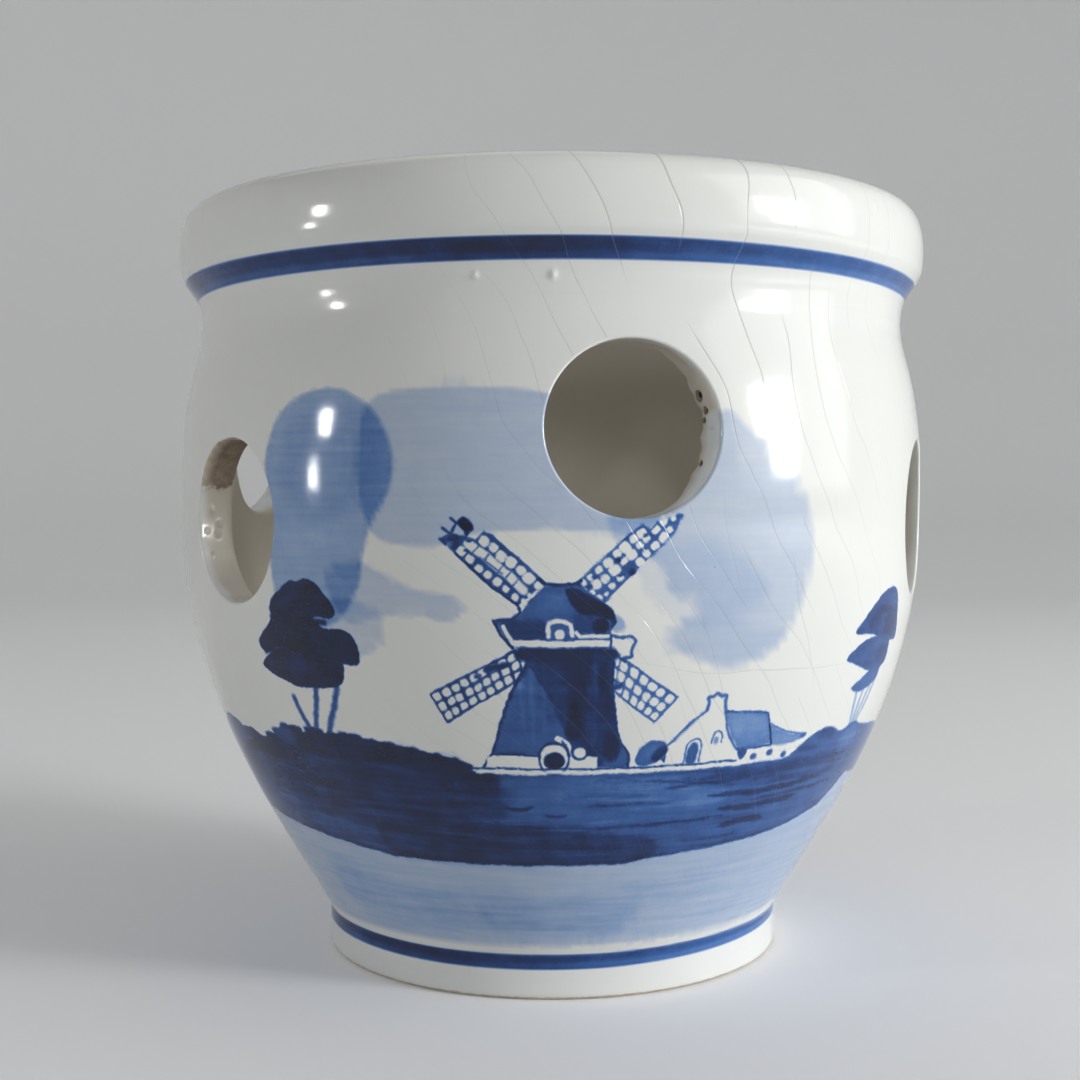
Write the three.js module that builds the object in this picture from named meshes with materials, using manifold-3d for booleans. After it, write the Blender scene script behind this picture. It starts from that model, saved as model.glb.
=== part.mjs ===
// Crocus pot: a round glazed earthenware pot with a thick rolled rim, a foot ring and six
// round side holes in two staggered rows. Millimetres, +Z up. The origin is on the axis at
// the resting plane, and one hole of the upper row faces -Y.
import * as THREE from 'three';
import { mergeVertices } from 'three/addons/utils/BufferGeometryUtils.js';
import Module from 'manifold-3d';

// Overall
const potHeight = 125.4;
const bellyRadius = 64;
const bellyHeight = 75.5;
const wallThickness = 6;

// Neck, where the rolled rim is luted to the wall
const neckInset = 3.7;
const tongueHeight = 4;
const tongueThickness = 3;

// Rolled rim, measured down from its crest and in from its widest point
const rimHeight = 19.8;
const rimBulgeDrop = 7.1;
const rimUndersideDrop = 11.2;
const rimUndersideInset = 0.5;
const rimCrestInset = 4.4;
const mouthRoundDrop = 5.9;
const mouthFlare = 0.3;

// Foot ring
const footRadius = 39.3;
const footHeight = 6.6;
const footRingWidth = 7;
const footEdgeRound = 0.9;
const wallFootWidth = 4.4;

// Floor disc
const floorTop = 10.6;
const floorUnderside = 3.5;

// Six side holes: the upper and lower rows alternate round the pot
const holeDiameter = 25;
const holesInRow = 3;
const upperRowDrop = 18.5;
const rowSpacing = 13;

// Clearance kept between neighbouring pieces
const seam = 0.3;

// How full the wall's curves are, as parts of each curve's rise
const flareRise = 0.175;
const flareSlope = 0.5;
const bellyFullness = 0.495;
const shoulderFullness = 0.73;
const neckTightness = 0.166;

// Handles of the rim's curves: run and rise of the first handle, then of the second, each a
// part of the curve's own run and rise
const coveHandles = [0, 0.6, 0.41, 0.61];
const bulgeHandles = [0.7, 0.15, 1, 0.56];
const crownHandles = [0, 0.65, 0.32, 1];
const lipHandles = [0.56, 0, 1, 0.41];

// Facets
const facetsRound = 60;
const facetsHole = 32;
const stepsWallCurve = 9;
const stepsRimCurve = 4;
const stepsFootEdge = 3;

// Places that follow from the sizes
const neckRadius = bellyRadius - neckInset;
const neckHeight = potHeight - rimHeight;
const neckInside = neckRadius - wallThickness;
const upperHoleHeight = neckHeight - upperRowDrop;
const lowerHoleHeight = upperHoleHeight - rowSpacing;

const point = (radius, height) => new THREE.Vector2(radius, height);
const curve = (a, b, c, d, steps) => new THREE.CubicBezierCurve(a, b, c, d).getPoints(steps);

// A curve between two points whose handles are given as parts of its run and its rise.
function between(a, b, [runA, riseA, runB, riseB], steps) {
  const at = (run, rise) => point(a.x + run * (b.x - a.x), a.y + rise * (b.y - a.y));
  return curve(a, at(runA, riseA), at(runB, riseB), b, steps);
}

// The outside of the wall, from the foot up over the belly to the narrowest point of the neck.
function wallOutside() {
  const start = point(footRadius, footHeight + seam);
  const widest = point(bellyRadius, bellyHeight);
  const neck = point(neckRadius, neckHeight);
  const lowerRise = bellyHeight - start.y;
  const upperRise = neckHeight - bellyHeight;
  const flare = flareRise * lowerRise;
  const lower = curve(
    start,
    point(footRadius + flareSlope * flare, start.y + flare),
    point(bellyRadius, bellyHeight - bellyFullness * lowerRise),
    widest,
    stepsWallCurve,
  );
  const upper = curve(
    widest,
    point(bellyRadius, bellyHeight + shoulderFullness * upperRise),
    point(neckRadius, neckHeight - neckTightness * upperRise),
    neck,
    stepsWallCurve,
  );
  return [...lower, ...upper.slice(1)];
}

// The outside moved inwards by the wall's thickness, square to the surface.
function wallInside() {
  const outside = wallOutside();
  const last = outside.length - 1;
  return outside.map((p, i) => {
    const before = outside[Math.max(i - 1, 0)];
    const after = outside[Math.min(i + 1, last)];
    const along = point(after.x - before.x, after.y - before.y).normalize();
    return point(p.x - along.y * wallThickness, p.y + along.x * wallThickness);
  });
}

// A closed profile of (radius, height) points, turned once round the axis and stood upright.
function turned(profile) {
  const closed = [...profile, profile[0].clone()];
  return new THREE.LatheGeometry(closed, facetsRound).rotateX(Math.PI / 2);
}

function solidFrom(geometry) {
  const bare = geometry.clone();
  bare.deleteAttribute('normal');
  bare.deleteAttribute('uv');
  const merged = mergeVertices(bare, 1e-4);
  const vertProperties = new Float32Array(merged.attributes.position.array);
  const triVerts = new Uint32Array(merged.index.array);
  return new wasm.Manifold(new wasm.Mesh({ numProp: 3, vertProperties, triVerts }));
}

function geometryFrom(solid) {
  const mesh = solid.getMesh();
  const geometry = new THREE.BufferGeometry();
  geometry.setAttribute('position', new THREE.BufferAttribute(mesh.vertProperties, 3));
  geometry.setIndex(new THREE.BufferAttribute(mesh.triVerts, 1));
  return geometry;
}

// A round cutter that passes through the wall square to the axis, at an angle round the pot.
function holeCutter(angle, height) {
  const reach = 6 * wallThickness;
  const cutter = new THREE.CylinderGeometry(holeDiameter / 2, holeDiameter / 2, reach, facetsHole);
  cutter.translate(0, -(bellyRadius - wallThickness / 2), 0);
  cutter.rotateZ(angle);
  cutter.translate(0, 0, height);
  return solidFrom(cutter);
}

// The wall stands on the foot ring, covers the edge of the floor disc and ends in a tongue
// that the rolled rim fits over.
function bellyWall() {
  const base = footHeight + seam;
  const overhang = floorTop + seam;
  const seatRadius = footRadius - wallFootWidth;
  const tongueRadius = neckInside + tongueThickness;
  const tongueTop = neckHeight + tongueHeight;
  const inside = wallInside().filter((p) => p.y > overhang + seam && p.y < neckHeight - seam);
  const profile = [
    ...wallOutside(),
    point(tongueRadius, neckHeight),
    point(tongueRadius, tongueTop),
    point(neckInside, tongueTop),
    ...inside.reverse(),
    point(seatRadius - seam, overhang),
    point(seatRadius, overhang),
    point(seatRadius, base),
  ];
  let solid = solidFrom(turned(profile));
  const step = Math.PI / holesInRow;
  for (let i = 0; i < holesInRow; i += 1) {
    solid = solid.subtract(holeCutter(2 * i * step, upperHoleHeight));
    solid = solid.subtract(holeCutter((2 * i + 1) * step, lowerHoleHeight));
  }
  return geometryFrom(solid);
}

// The rim is a thick roll, as wide as the belly. Its groove fits over the wall's tongue.
function rolledRim() {
  const base = neckHeight + seam;
  const groove = point(neckInside + tongueThickness + seam, neckHeight + tongueHeight + seam);
  const neck = point(neckRadius, base);
  const underside = point(bellyRadius - rimUndersideInset, potHeight - rimUndersideDrop);
  const bulge = point(bellyRadius, potHeight - rimBulgeDrop);
  const crest = point(bellyRadius - rimCrestInset, potHeight);
  const mouth = point(neckInside + mouthFlare, potHeight - mouthRoundDrop);
  return turned([
    ...between(neck, underside, coveHandles, 2 * stepsRimCurve),
    ...between(underside, bulge, bulgeHandles, stepsRimCurve).slice(1),
    ...between(bulge, crest, crownHandles, 2 * stepsRimCurve).slice(1),
    ...between(crest, mouth, lipHandles, stepsRimCurve).slice(1),
    point(neckInside, groove.y),
    point(groove.x, groove.y),
    point(groove.x, base),
  ]);
}

// The floor is a disc: its flange rests on the foot ring, and its boss fits inside the ring.
function floorDisc() {
  const flangeRadius = footRadius - wallFootWidth - seam;
  const bossRadius = footRadius - footRingWidth - seam;
  const flangeBase = footHeight + seam;
  return turned([
    point(0, floorUnderside),
    point(bossRadius, floorUnderside),
    point(bossRadius, flangeBase),
    point(flangeRadius, flangeBase),
    point(flangeRadius, floorTop),
    point(0, floorTop),
  ]);
}

// The foot ring carries the pot on its flat underside. Its outer edge is rounded.
function footRing() {
  const inner = footRadius - footRingWidth;
  const edge = [];
  for (let i = 0; i <= stepsFootEdge; i += 1) {
    const turn = (i / stepsFootEdge) * (Math.PI / 2);
    const x = footRadius - footEdgeRound + footEdgeRound * Math.sin(turn);
    const y = footEdgeRound - footEdgeRound * Math.cos(turn);
    edge.push(point(x, y));
  }
  return turned([
    point(inner + footEdgeRound, 0),
    ...edge,
    point(footRadius, footHeight),
    point(inner, footHeight),
    point(inner, footEdgeRound),
  ]);
}

function piece(name, geometry, color, roughness) {
  const material = new THREE.MeshStandardMaterial({ color, roughness, metalness: 0 });
  const mesh = new THREE.Mesh(geometry, material);
  mesh.name = name;
  return mesh;
}

const wasm = await Module();
wasm.setup();

const glaze = 0xe9ebe6;
const bareClay = 0xe3d9c6;

const pot = new THREE.Group();
pot.add(piece('foot_ring', footRing(), bareClay, 0.6));
pot.add(piece('floor_disc', floorDisc(), glaze, 0.15));
pot.add(piece('belly_wall', bellyWall(), glaze, 0.12));
pot.add(piece('rolled_rim', rolledRim(), glaze, 0.12));

export default pot;
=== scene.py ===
import math

import bpy
import numpy as np
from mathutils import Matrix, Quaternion, Vector
from mathutils.geometry import delaunay_2d_cdt


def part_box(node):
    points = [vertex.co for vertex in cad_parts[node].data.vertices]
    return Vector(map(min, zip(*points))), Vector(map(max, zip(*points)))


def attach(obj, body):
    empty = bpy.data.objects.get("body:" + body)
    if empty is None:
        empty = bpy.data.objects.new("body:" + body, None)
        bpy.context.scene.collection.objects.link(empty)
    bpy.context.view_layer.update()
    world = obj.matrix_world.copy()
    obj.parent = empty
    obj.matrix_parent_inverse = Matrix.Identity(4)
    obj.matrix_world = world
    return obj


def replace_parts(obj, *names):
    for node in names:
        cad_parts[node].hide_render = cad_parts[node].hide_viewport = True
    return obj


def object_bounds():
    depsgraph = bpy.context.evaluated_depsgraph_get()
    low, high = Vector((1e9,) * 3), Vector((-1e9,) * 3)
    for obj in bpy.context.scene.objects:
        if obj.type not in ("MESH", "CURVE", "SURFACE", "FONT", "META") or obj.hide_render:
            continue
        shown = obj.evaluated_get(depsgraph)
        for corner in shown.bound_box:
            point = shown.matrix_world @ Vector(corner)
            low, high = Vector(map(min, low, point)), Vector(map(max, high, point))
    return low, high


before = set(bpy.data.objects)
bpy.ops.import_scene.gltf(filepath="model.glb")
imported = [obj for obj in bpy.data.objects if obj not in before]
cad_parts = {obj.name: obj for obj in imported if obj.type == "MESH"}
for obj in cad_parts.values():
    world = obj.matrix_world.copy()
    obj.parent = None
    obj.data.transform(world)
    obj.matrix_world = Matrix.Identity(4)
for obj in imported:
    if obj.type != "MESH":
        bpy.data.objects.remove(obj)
cad_low, cad_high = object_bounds()

MM = 0.001

# Sizes that the frame gives, in millimetres
SEAM = 0.3
POT_HEIGHT = cad_high.z / MM
BELLY_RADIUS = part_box("belly_wall")[1].x / MM
FOOT_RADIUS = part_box("foot_ring")[1].x / MM
FOOT_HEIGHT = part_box("foot_ring")[1].z / MM
NECK_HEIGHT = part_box("rolled_rim")[0].z / MM - SEAM
FLOOR_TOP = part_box("floor_disc")[1].z / MM
FLOOR_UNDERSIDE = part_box("floor_disc")[0].z / MM

# Sizes of the wall, its neck and the tongue that the rim fits over
BELLY_HEIGHT = 75.5
WALL_THICKNESS = 6.0
WALL_FOOT_WIDTH = 4.4
NECK_INSET = 3.7
TONGUE_THICKNESS = 3.0
TONGUE_HEIGHT = 4.0
NECK_RADIUS = BELLY_RADIUS - NECK_INSET
NECK_INSIDE = NECK_RADIUS - WALL_THICKNESS
TONGUE_RADIUS = NECK_INSIDE + TONGUE_THICKNESS + SEAM / 2
TONGUE_TOP = NECK_HEIGHT + TONGUE_HEIGHT + SEAM / 2

# How full the wall's curves are, as parts of each curve's rise
FLARE_RISE = 0.175
FLARE_SLOPE = 0.5
BELLY_FULLNESS = 0.495
SHOULDER_FULLNESS = 0.73
NECK_TIGHTNESS = 0.166

# Sizes of the rim, as places on its section
RIM_UNDERSIDE = (BELLY_RADIUS - 0.5, POT_HEIGHT - 11.2)
RIM_BULGE = (BELLY_RADIUS, POT_HEIGHT - 7.1)
RIM_CREST = (BELLY_RADIUS - 4.4, POT_HEIGHT)
RIM_MOUTH = (NECK_INSIDE + 0.3, POT_HEIGHT - 5.9)
COVE_HANDLES = (0, 0.6, 0.41, 0.61)
BULGE_HANDLES = (0.7, 0.15, 1, 0.56)
CROWN_HANDLES = (0, 0.65, 0.32, 1)
LIP_HANDLES = (0.56, 0, 1, 0.41)

# Foot and floor
FOOT_EDGE = 0.9
FOOT_RING_WIDTH = 7.0
SEAT_RADIUS = FOOT_RADIUS - WALL_FOOT_WIDTH - SEAM / 2
BOSS_RADIUS = FOOT_RADIUS - FOOT_RING_WIDTH - SEAM / 2
FLOOR_FILLET = 2.4
THROWING_PITCH = 4.2

# Where neighbouring pieces meet on the outside
FOOT_JOINT = FOOT_HEIGHT + SEAM / 2
NECK_JOINT = NECK_HEIGHT + SEAM / 2

# Side holes
HOLE_RADIUS = 12.5
HOLE_LIP = 0.45
HOLE_INNER_LIP = 1.0
UPPER_ROW_DROP = 18.5
ROW_SPACING = 13.0
UPPER_HOLE = NECK_HEIGHT - UPPER_ROW_DROP
LOWER_HOLE = UPPER_HOLE - ROW_SPACING

# The surface is meshed in two sectors that meet between holes, in front and behind
TURN = 2 * math.pi * BELLY_RADIUS
SECTOR_EDGE = math.radians(75) * BELLY_RADIUS
FRONT = (-SECTOR_EDGE, SECTOR_EDGE)
BACK = (SECTOR_EDGE, TURN - SECTOR_EDGE)


# Curves of the section

def bezier(a, b, c, d, count=1500):
    t = np.linspace(0, 1, count)[:, None]
    a, b, c, d = (np.array(p, float) for p in (a, b, c, d))
    return a * (1 - t) ** 3 + 3 * b * t * (1 - t) ** 2 + 3 * c * t * t * (1 - t) + d * t ** 3


def between(a, b, handles):
    """A curve from a to b whose handles are parts of its run and rise."""
    run_a, rise_a, run_b, rise_b = handles
    run, rise = b[0] - a[0], b[1] - a[1]
    first = (a[0] + run_a * run, a[1] + rise_a * rise)
    second = (a[0] + run_b * run, a[1] + rise_b * rise)
    return bezier(a, first, second, b)


def wall_section():
    """The outside of the wall from the foot joint to the neck joint."""
    start = (FOOT_RADIUS, FOOT_HEIGHT + SEAM)
    lower = BELLY_HEIGHT - start[1]
    upper = NECK_HEIGHT - BELLY_HEIGHT
    flare = FLARE_RISE * lower
    below = bezier(
        start,
        (FOOT_RADIUS + FLARE_SLOPE * flare, start[1] + flare),
        (BELLY_RADIUS, BELLY_HEIGHT - BELLY_FULLNESS * lower),
        (BELLY_RADIUS, BELLY_HEIGHT),
    )
    above = bezier(
        (BELLY_RADIUS, BELLY_HEIGHT),
        (BELLY_RADIUS, BELLY_HEIGHT + SHOULDER_FULLNESS * upper),
        (NECK_RADIUS, NECK_HEIGHT - NECK_TIGHTNESS * upper),
        (NECK_RADIUS, NECK_HEIGHT),
    )
    return np.vstack([[(FOOT_RADIUS, FOOT_JOINT)], below, above[1:], [(NECK_RADIUS, NECK_JOINT)]])


def inward(section, distance):
    """A section moved inwards, square to itself."""
    along = np.gradient(section, axis=0)
    along /= np.linalg.norm(along, axis=1)[:, None]
    return section + distance * np.stack([-along[:, 1], along[:, 0]], axis=1)


def rim_section():
    """The shown section of the rim: cove, bulge, crown, lip and inside."""
    neck = (NECK_RADIUS, NECK_HEIGHT + SEAM)
    stretches = [
        np.array([(NECK_RADIUS, NECK_JOINT)]),
        between(neck, RIM_UNDERSIDE, COVE_HANDLES),
        between(RIM_UNDERSIDE, RIM_BULGE, BULGE_HANDLES)[1:],
        between(RIM_BULGE, RIM_CREST, CROWN_HANDLES)[1:],
        between(RIM_CREST, RIM_MOUTH, LIP_HANDLES)[1:],
        bezier(RIM_MOUTH, (NECK_INSIDE, RIM_MOUTH[1] - 3), (NECK_INSIDE, TONGUE_TOP + 3),
               (NECK_INSIDE, TONGUE_TOP))[1:],
    ]
    return np.vstack(stretches)


WALL = wall_section()
INSIDE = inward(WALL[1:-1], WALL_THICKNESS)
RIM = rim_section()
RIM_ALONG = np.concatenate([[0], np.cumsum(np.linalg.norm(np.diff(RIM, axis=0), axis=1))])
RIM_LENGTH = RIM_ALONG[-1]


def fillet_section():
    """The inside corner between the floor and the wall."""
    foot = np.interp(FLOOR_TOP, INSIDE[:, 1], INSIDE[:, 0])
    top = FLOOR_TOP + FLOOR_FILLET
    end = (np.interp(top, INSIDE[:, 1], INSIDE[:, 0]), top)
    start = (foot - FLOOR_FILLET, FLOOR_TOP)
    corner = (foot, FLOOR_TOP)
    handles = [tuple(np.array(p) + 0.6 * (np.array(corner) - p)) for p in (start, end)]
    return bezier(start, handles[0], handles[1], end, 400)


FILLET = fillet_section()


# Surfaces as functions of their two coordinates

def sway(u, v):
    """How far the hand-turned surface falls short of the true circle, in millimetres."""
    turn = u / BELLY_RADIUS
    slow = 2 + np.sin(2 * turn + 0.4 + 0.02 * v) + 0.7 * np.sin(3 * turn - 0.05 * v + 1.1)
    rings = np.sin(0.62 * v + 0.8 * np.sin(turn + 0.5)) * np.clip(v / 20, 0, 1)
    return 0.045 * slow + 0.012 * (1 + rings)


def at(u, radius, height):
    turn = u / BELLY_RADIUS
    return np.stack([radius * np.sin(turn), -radius * np.cos(turn), height + 0 * u], axis=-1)


def wall_radius(u, v):
    return np.interp(v, WALL[:, 1], WALL[:, 0]) - sway(u, v)


def wall_outside(u, v):
    return at(u, wall_radius(u, v), v)


def inside_radius(v):
    return np.interp(v, INSIDE[:, 1], INSIDE[:, 0])


def wall_inside(u, v):
    return at(u, inside_radius(v) + 0 * u, v)


# Small raised spots in the glaze below the painted line: place, radius and height
PIMPLES = [(-23.0, 108.4, 0.7, 0.26), (-11.5, 108.3, 0.8, 0.34), (44.0, 121.0, 0.7, 0.12)]


def rim_surface(u, s):
    radius = np.interp(s, RIM_ALONG, RIM[:, 0])
    height = np.interp(s, RIM_ALONG, RIM[:, 1])
    inner = np.clip((s - 0.55 * RIM_LENGTH) / 12, 0, 1)
    radius = radius - sway(u, height) * (1 - inner)
    for pimple_u, pimple_v, spread, rise in PIMPLES:
        away = np.hypot(u - pimple_u, height - pimple_v) / spread
        radius = radius + rise * np.exp(-away ** 2 * 2) * (1 - inner)
    height = height - 0.04 * (1 + np.sin(2 * u / BELLY_RADIUS + 1.9)) * (height > RIM_BULGE[1])
    return at(u, radius, height)


def lathed(section):
    """A surface whose second coordinate is the distance along a section."""
    section = np.array(section, float)
    along = np.concatenate([[0], np.cumsum(np.linalg.norm(np.diff(section, axis=0), axis=1))])

    def surface(u, s):
        radius = np.interp(s, along, section[:, 0])
        return at(u, radius, np.interp(s, along, section[:, 1]))

    return surface, along[-1]


def normals_of(surface, u, s, low, high, step=0.12):
    """Outward normals, from small steps along both coordinates."""
    ahead, behind = np.minimum(s + step, high), np.maximum(s - step, low)
    round_pot = surface(u + step, s) - surface(u - step, s)
    up = surface(u, ahead) - surface(u, behind)
    normal = np.cross(round_pot, up)
    size = np.linalg.norm(normal, axis=-1, keepdims=True)
    return normal / np.maximum(size, 1e-12)


# Painting

class Brush:
    """Cobalt laid on points of the pot. The values are 0 for bare glaze to 1 for the darkest."""

    def __init__(self, u, v):
        u = (u + TURN / 2) % TURN - TURN / 2
        self.true_u, self.true_v = u, v
        shake = 0.045 * np.sin(5.3 * v - 3.7 * u + 2 * np.sin(1.7 * u))
        self.u = u + 0.06 * np.sin(0.9 * v + 0.4 * u) + 0.03 * np.sin(2.9 * v - 1.3 * u + 1) + shake
        self.v = v + 0.06 * np.sin(0.7 * u - 0.5 * v) + 0.03 * np.sin(2.3 * u + 1.9 * v + 2) - shake
        self.cobalt = np.zeros_like(u)
        self.streak = np.zeros_like(u)

    def near(self, points, margin):
        low, high = points.min(axis=0) - margin, points.max(axis=0) + margin
        across = (self.u > low[0]) & (self.u < high[0])
        return np.nonzero(across & (self.v > low[1]) & (self.v < high[1]))[0]

    def to_path(self, points, chosen):
        """Distance to a path of points, and how far along the path its nearest place is."""
        u, v = self.u[chosen], self.v[chosen]
        best = np.full(len(chosen), 1e9)
        where = np.zeros(len(chosen))
        last = max(len(points) - 1, 1)
        for i in range(len(points) - 1):
            (au, av), (bu, bv) = points[i], points[i + 1]
            eu, ev = bu - au, bv - av
            t = ((u - au) * eu + (v - av) * ev) / max(eu * eu + ev * ev, 1e-9)
            t = np.clip(t, 0, 1)
            gap = (u - au - t * eu) ** 2 + (v - av - t * ev) ** 2
            closer = gap < best
            best = np.where(closer, gap, best)
            where = np.where(closer, (i + t) / last, where)
        return np.sqrt(best), where

    def inside(self, outline, soft):
        """The points near an outline, how covered each is, and its distance from the edge."""
        chosen = self.near(outline, soft)
        closed = np.vstack([outline, outline[:1]])
        distance, _ = self.to_path(closed, chosen)
        u, v = self.u[chosen], self.v[chosen]
        within = np.zeros(len(chosen), bool)
        for (au, av), (bu, bv) in zip(closed[:-1], closed[1:]):
            if av != bv:
                within ^= ((av > v) != (bv > v)) & (u < (bu - au) * (v - av) / (bv - av) + au)
        signed = np.where(within, distance, -distance)
        return chosen, np.clip(0.5 + signed / soft, 0, 1), signed

    def wash(self, outline, amount, soft=0.5, pool=0.0, streak=None):
        """Thin cobalt added over what is there. It pools darker just inside its edge."""
        chosen, cover, signed = self.inside(outline, soft)
        pooled = pool * np.exp(-(np.maximum(signed, 0) / 0.7) ** 2)
        self.cobalt[chosen] += cover * (amount + pooled)
        if streak is not None:
            self.streak[chosen] += cover * (streak - self.streak[chosen])

    def fill(self, outline, amount, soft=0.2):
        """Thick cobalt that takes the place of what is there."""
        chosen, cover, _ = self.inside(outline, soft)
        self.cobalt[chosen] += cover * (amount - self.cobalt[chosen])

    def clear(self, outline, soft=0.2):
        self.fill(outline, 0.0, soft)

    def line(self, points, width, amount, soft=0.16, taper=0.0):
        """A stroke that keeps the darker of itself and what is there. It may taper at its ends."""
        points = np.array(points, float)
        chosen = self.near(points, width + soft)
        distance, where = self.to_path(points, chosen)
        ends = np.minimum(1, np.minimum(where, 1 - where) / max(taper, 1e-6))
        half = width / 2 * (1 if taper == 0 else 0.25 + 0.75 * ends)
        cover = np.clip(0.5 + (half - distance) / soft, 0, 1)
        darker = np.maximum(self.cobalt[chosen], amount)
        self.cobalt[chosen] += cover * (darker - self.cobalt[chosen])

    def clear_line(self, points, width, soft=0.16):
        points = np.array(points, float)
        chosen = self.near(points, width + soft)
        distance, _ = self.to_path(points, chosen)
        self.cobalt[chosen] *= 1 - np.clip(0.5 + (width / 2 - distance) / soft, 0, 1)

    def round_pot(self, places):
        """Values that run evenly from place to place round the pot."""
        return np.interp(self.u, *zip(*places), period=TURN)

    def band(self, bottom, top, depths, soft, streak=None, pool=0.0):
        """A belt of wash right round the pot. Its edges and depth are given at places round it."""
        edge = np.minimum(self.v - self.round_pot(bottom), self.round_pot(top) - self.v)
        amount = self.round_pot(depths)
        cover = np.clip(0.5 + edge / soft, 0, 1)
        self.cobalt += cover * (amount + pool * np.exp(-(np.maximum(edge, 0) / 0.5) ** 2))
        if streak is not None:
            self.streak += cover * (streak - self.streak)


def loop(*points, steps=6):
    """A smooth closed outline through the points."""
    p = np.array(points, float)
    before, after, beyond = np.roll(p, 1, 0), np.roll(p, -1, 0), np.roll(p, -2, 0)
    rows = [spline(before, p, after, beyond, t) for t in np.linspace(0, 1, steps, endpoint=False)]
    return np.stack(rows, axis=1).reshape(-1, 2)


def path(*points, steps=5):
    """A smooth open line through the points."""
    p = np.array(points, float)
    padded = np.vstack([2 * p[0] - p[1], p, 2 * p[-1] - p[-2]])
    a, b, c, d = padded[:-3], padded[1:-2], padded[2:-1], padded[3:]
    rows = [spline(a, b, c, d, t) for t in np.linspace(0, 1, steps, endpoint=False)]
    return np.vstack([np.stack(rows, axis=1).reshape(-1, 2), p[-1:]])


def spline(a, b, c, d, t):
    return 0.5 * (2 * b + (c - a) * t + (2 * a - 5 * b + 4 * c - d) * t * t
                  + (3 * b - a - 3 * c + d) * t ** 3)


def corners(*points):
    """An outline with straight sides."""
    return np.array(points, float)


ELLIPSE_STEPS = 26


def ellipse(u, v, half_u, half_v, tilt=0.0, start=0.0, end=360.0):
    """An ellipse, or the open part of one from a start to an end angle in degrees."""
    is_open = end - start < 360
    turn = np.radians(np.linspace(start, end, ELLIPSE_STEPS + is_open, endpoint=is_open))
    x, y = half_u * np.cos(turn), half_v * np.sin(turn)
    c, s = math.cos(math.radians(tilt)), math.sin(math.radians(tilt))
    return np.stack([u + x * c - y * s, v + x * s + y * c], axis=1)


def paint_sky(art):
    """Pale clouds, each laid with a few broad overlapping strokes."""
    pale = dict(soft=0.7, pool=0.012, streak=0.3)
    art.wash(loop((-38.4, 91), (-33, 92.6), (-26, 92.9), (-19, 92.7), (-13, 92), (-4, 90), (4, 84),
                  (5, 77), (2, 72.6), (-4, 72.8), (-11, 73.2), (-18, 73.1), (-23, 72.4),
                  (-28, 71), (-33, 71), (-37.4, 72.6), (-39.6, 78), (-39.8, 86)), 0.12, **pale)
    # The round cloud on the left is laid deeper than the band, and a soft wash darkens it more: partly
    # painted shade
    art.wash(loop((-57.6, 84), (-55, 89.6), (-50, 92.6), (-44, 93), (-38.4, 90.4), (-35, 85.6),
                  (-34.6, 79.6), (-37.4, 74.6), (-39, 70.8), (-40.4, 65), (-44.6, 60), (-51, 59),
                  (-56, 62), (-56.9, 70), (-57.2, 77)), 0.22, **pale)
    art.wash(ellipse(-45.6, 82.4, 8.8, 9.2), 0.05, soft=3.0)
    art.wash(loop((-46, 66.5), (-41, 68.8), (-37.5, 67.6), (-33, 65.4), (-28.5, 64.4),
                  (-25.4, 63.9), (-24.3, 62.3), (-25.6, 60.7), (-28, 60.5), (-31, 61.2),
                  (-35, 61.2), (-38.4, 60.5), (-43, 60)), 0.1, **pale)
    art.wash(loop((-49, 62), (-43, 63.5), (-37.5, 61.5), (-36.6, 58.8), (-38.2, 56.2),
                  (-41.5, 55), (-46, 55), (-50, 57)), 0.08, **pale)
    light = dict(soft=1.0, pool=0.006, streak=0.25)
    art.wash(loop((12, 89.5), (17, 87.3), (22, 84), (26.4, 79.4), (28.6, 73), (28.4, 66),
                  (26, 59.4), (22, 55.2), (16, 53.6), (10, 54.8), (5.6, 57.3), (7.5, 60.4),
                  (10, 62), (5, 64.5), (3.4, 68.4), (-1, 70), (-3.6, 73.3), (-3, 80)), 0.095, **light)
    art.wash(loop((-1.2, 70.2), (0.4, 66.6), (2.6, 62.4), (6.2, 60), (11, 59), (16.5, 60),
                  (20, 64), (17, 69), (10, 71), (3, 71.5)), 0.045, **light)
    art.wash(loop((4, 57.6), (8, 55.4), (14, 53.6), (20, 54), (24.5, 57), (20, 59.4), (12, 58.6),
                  (7, 59.6)), 0.03, **light)


def paint_far_sky(art):
    """Clouds on the side that the photograph doesn't show."""
    pale = dict(soft=0.8, pool=0.012, streak=0.3)
    puff = [(-9, -2), (-8.4, 3.6), (-4, 7.6), (3, 8), (7.6, 4), (6.4, -3.4), (0, -6)]
    tail = [(-1, 3.4), (4, 6), (11, 4.6), (16, 0.4), (12.6, -5), (5, -5.8), (-1, -2.4)]
    foot = [(-18, -4.8), (-9, -2.8), (2, -3.8), (12, -3.6), (21, -5.6), (19, -8), (6, -8.6), (-15, -7)]
    for u, v, size, side in ((104, 78, 1.0, 1), (164, 84, 0.8, -1), (-160, 82, 1.1, 1),
                             (-118, 86, 0.8, -1)):
        for shape, amount in ((puff, 0.1), (tail, 0.07), (foot, 0.08)):
            outline = loop(*[(u + side * size * x, v + size * y) for x, y in shape])
            art.wash(outline, amount, **pale)


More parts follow.
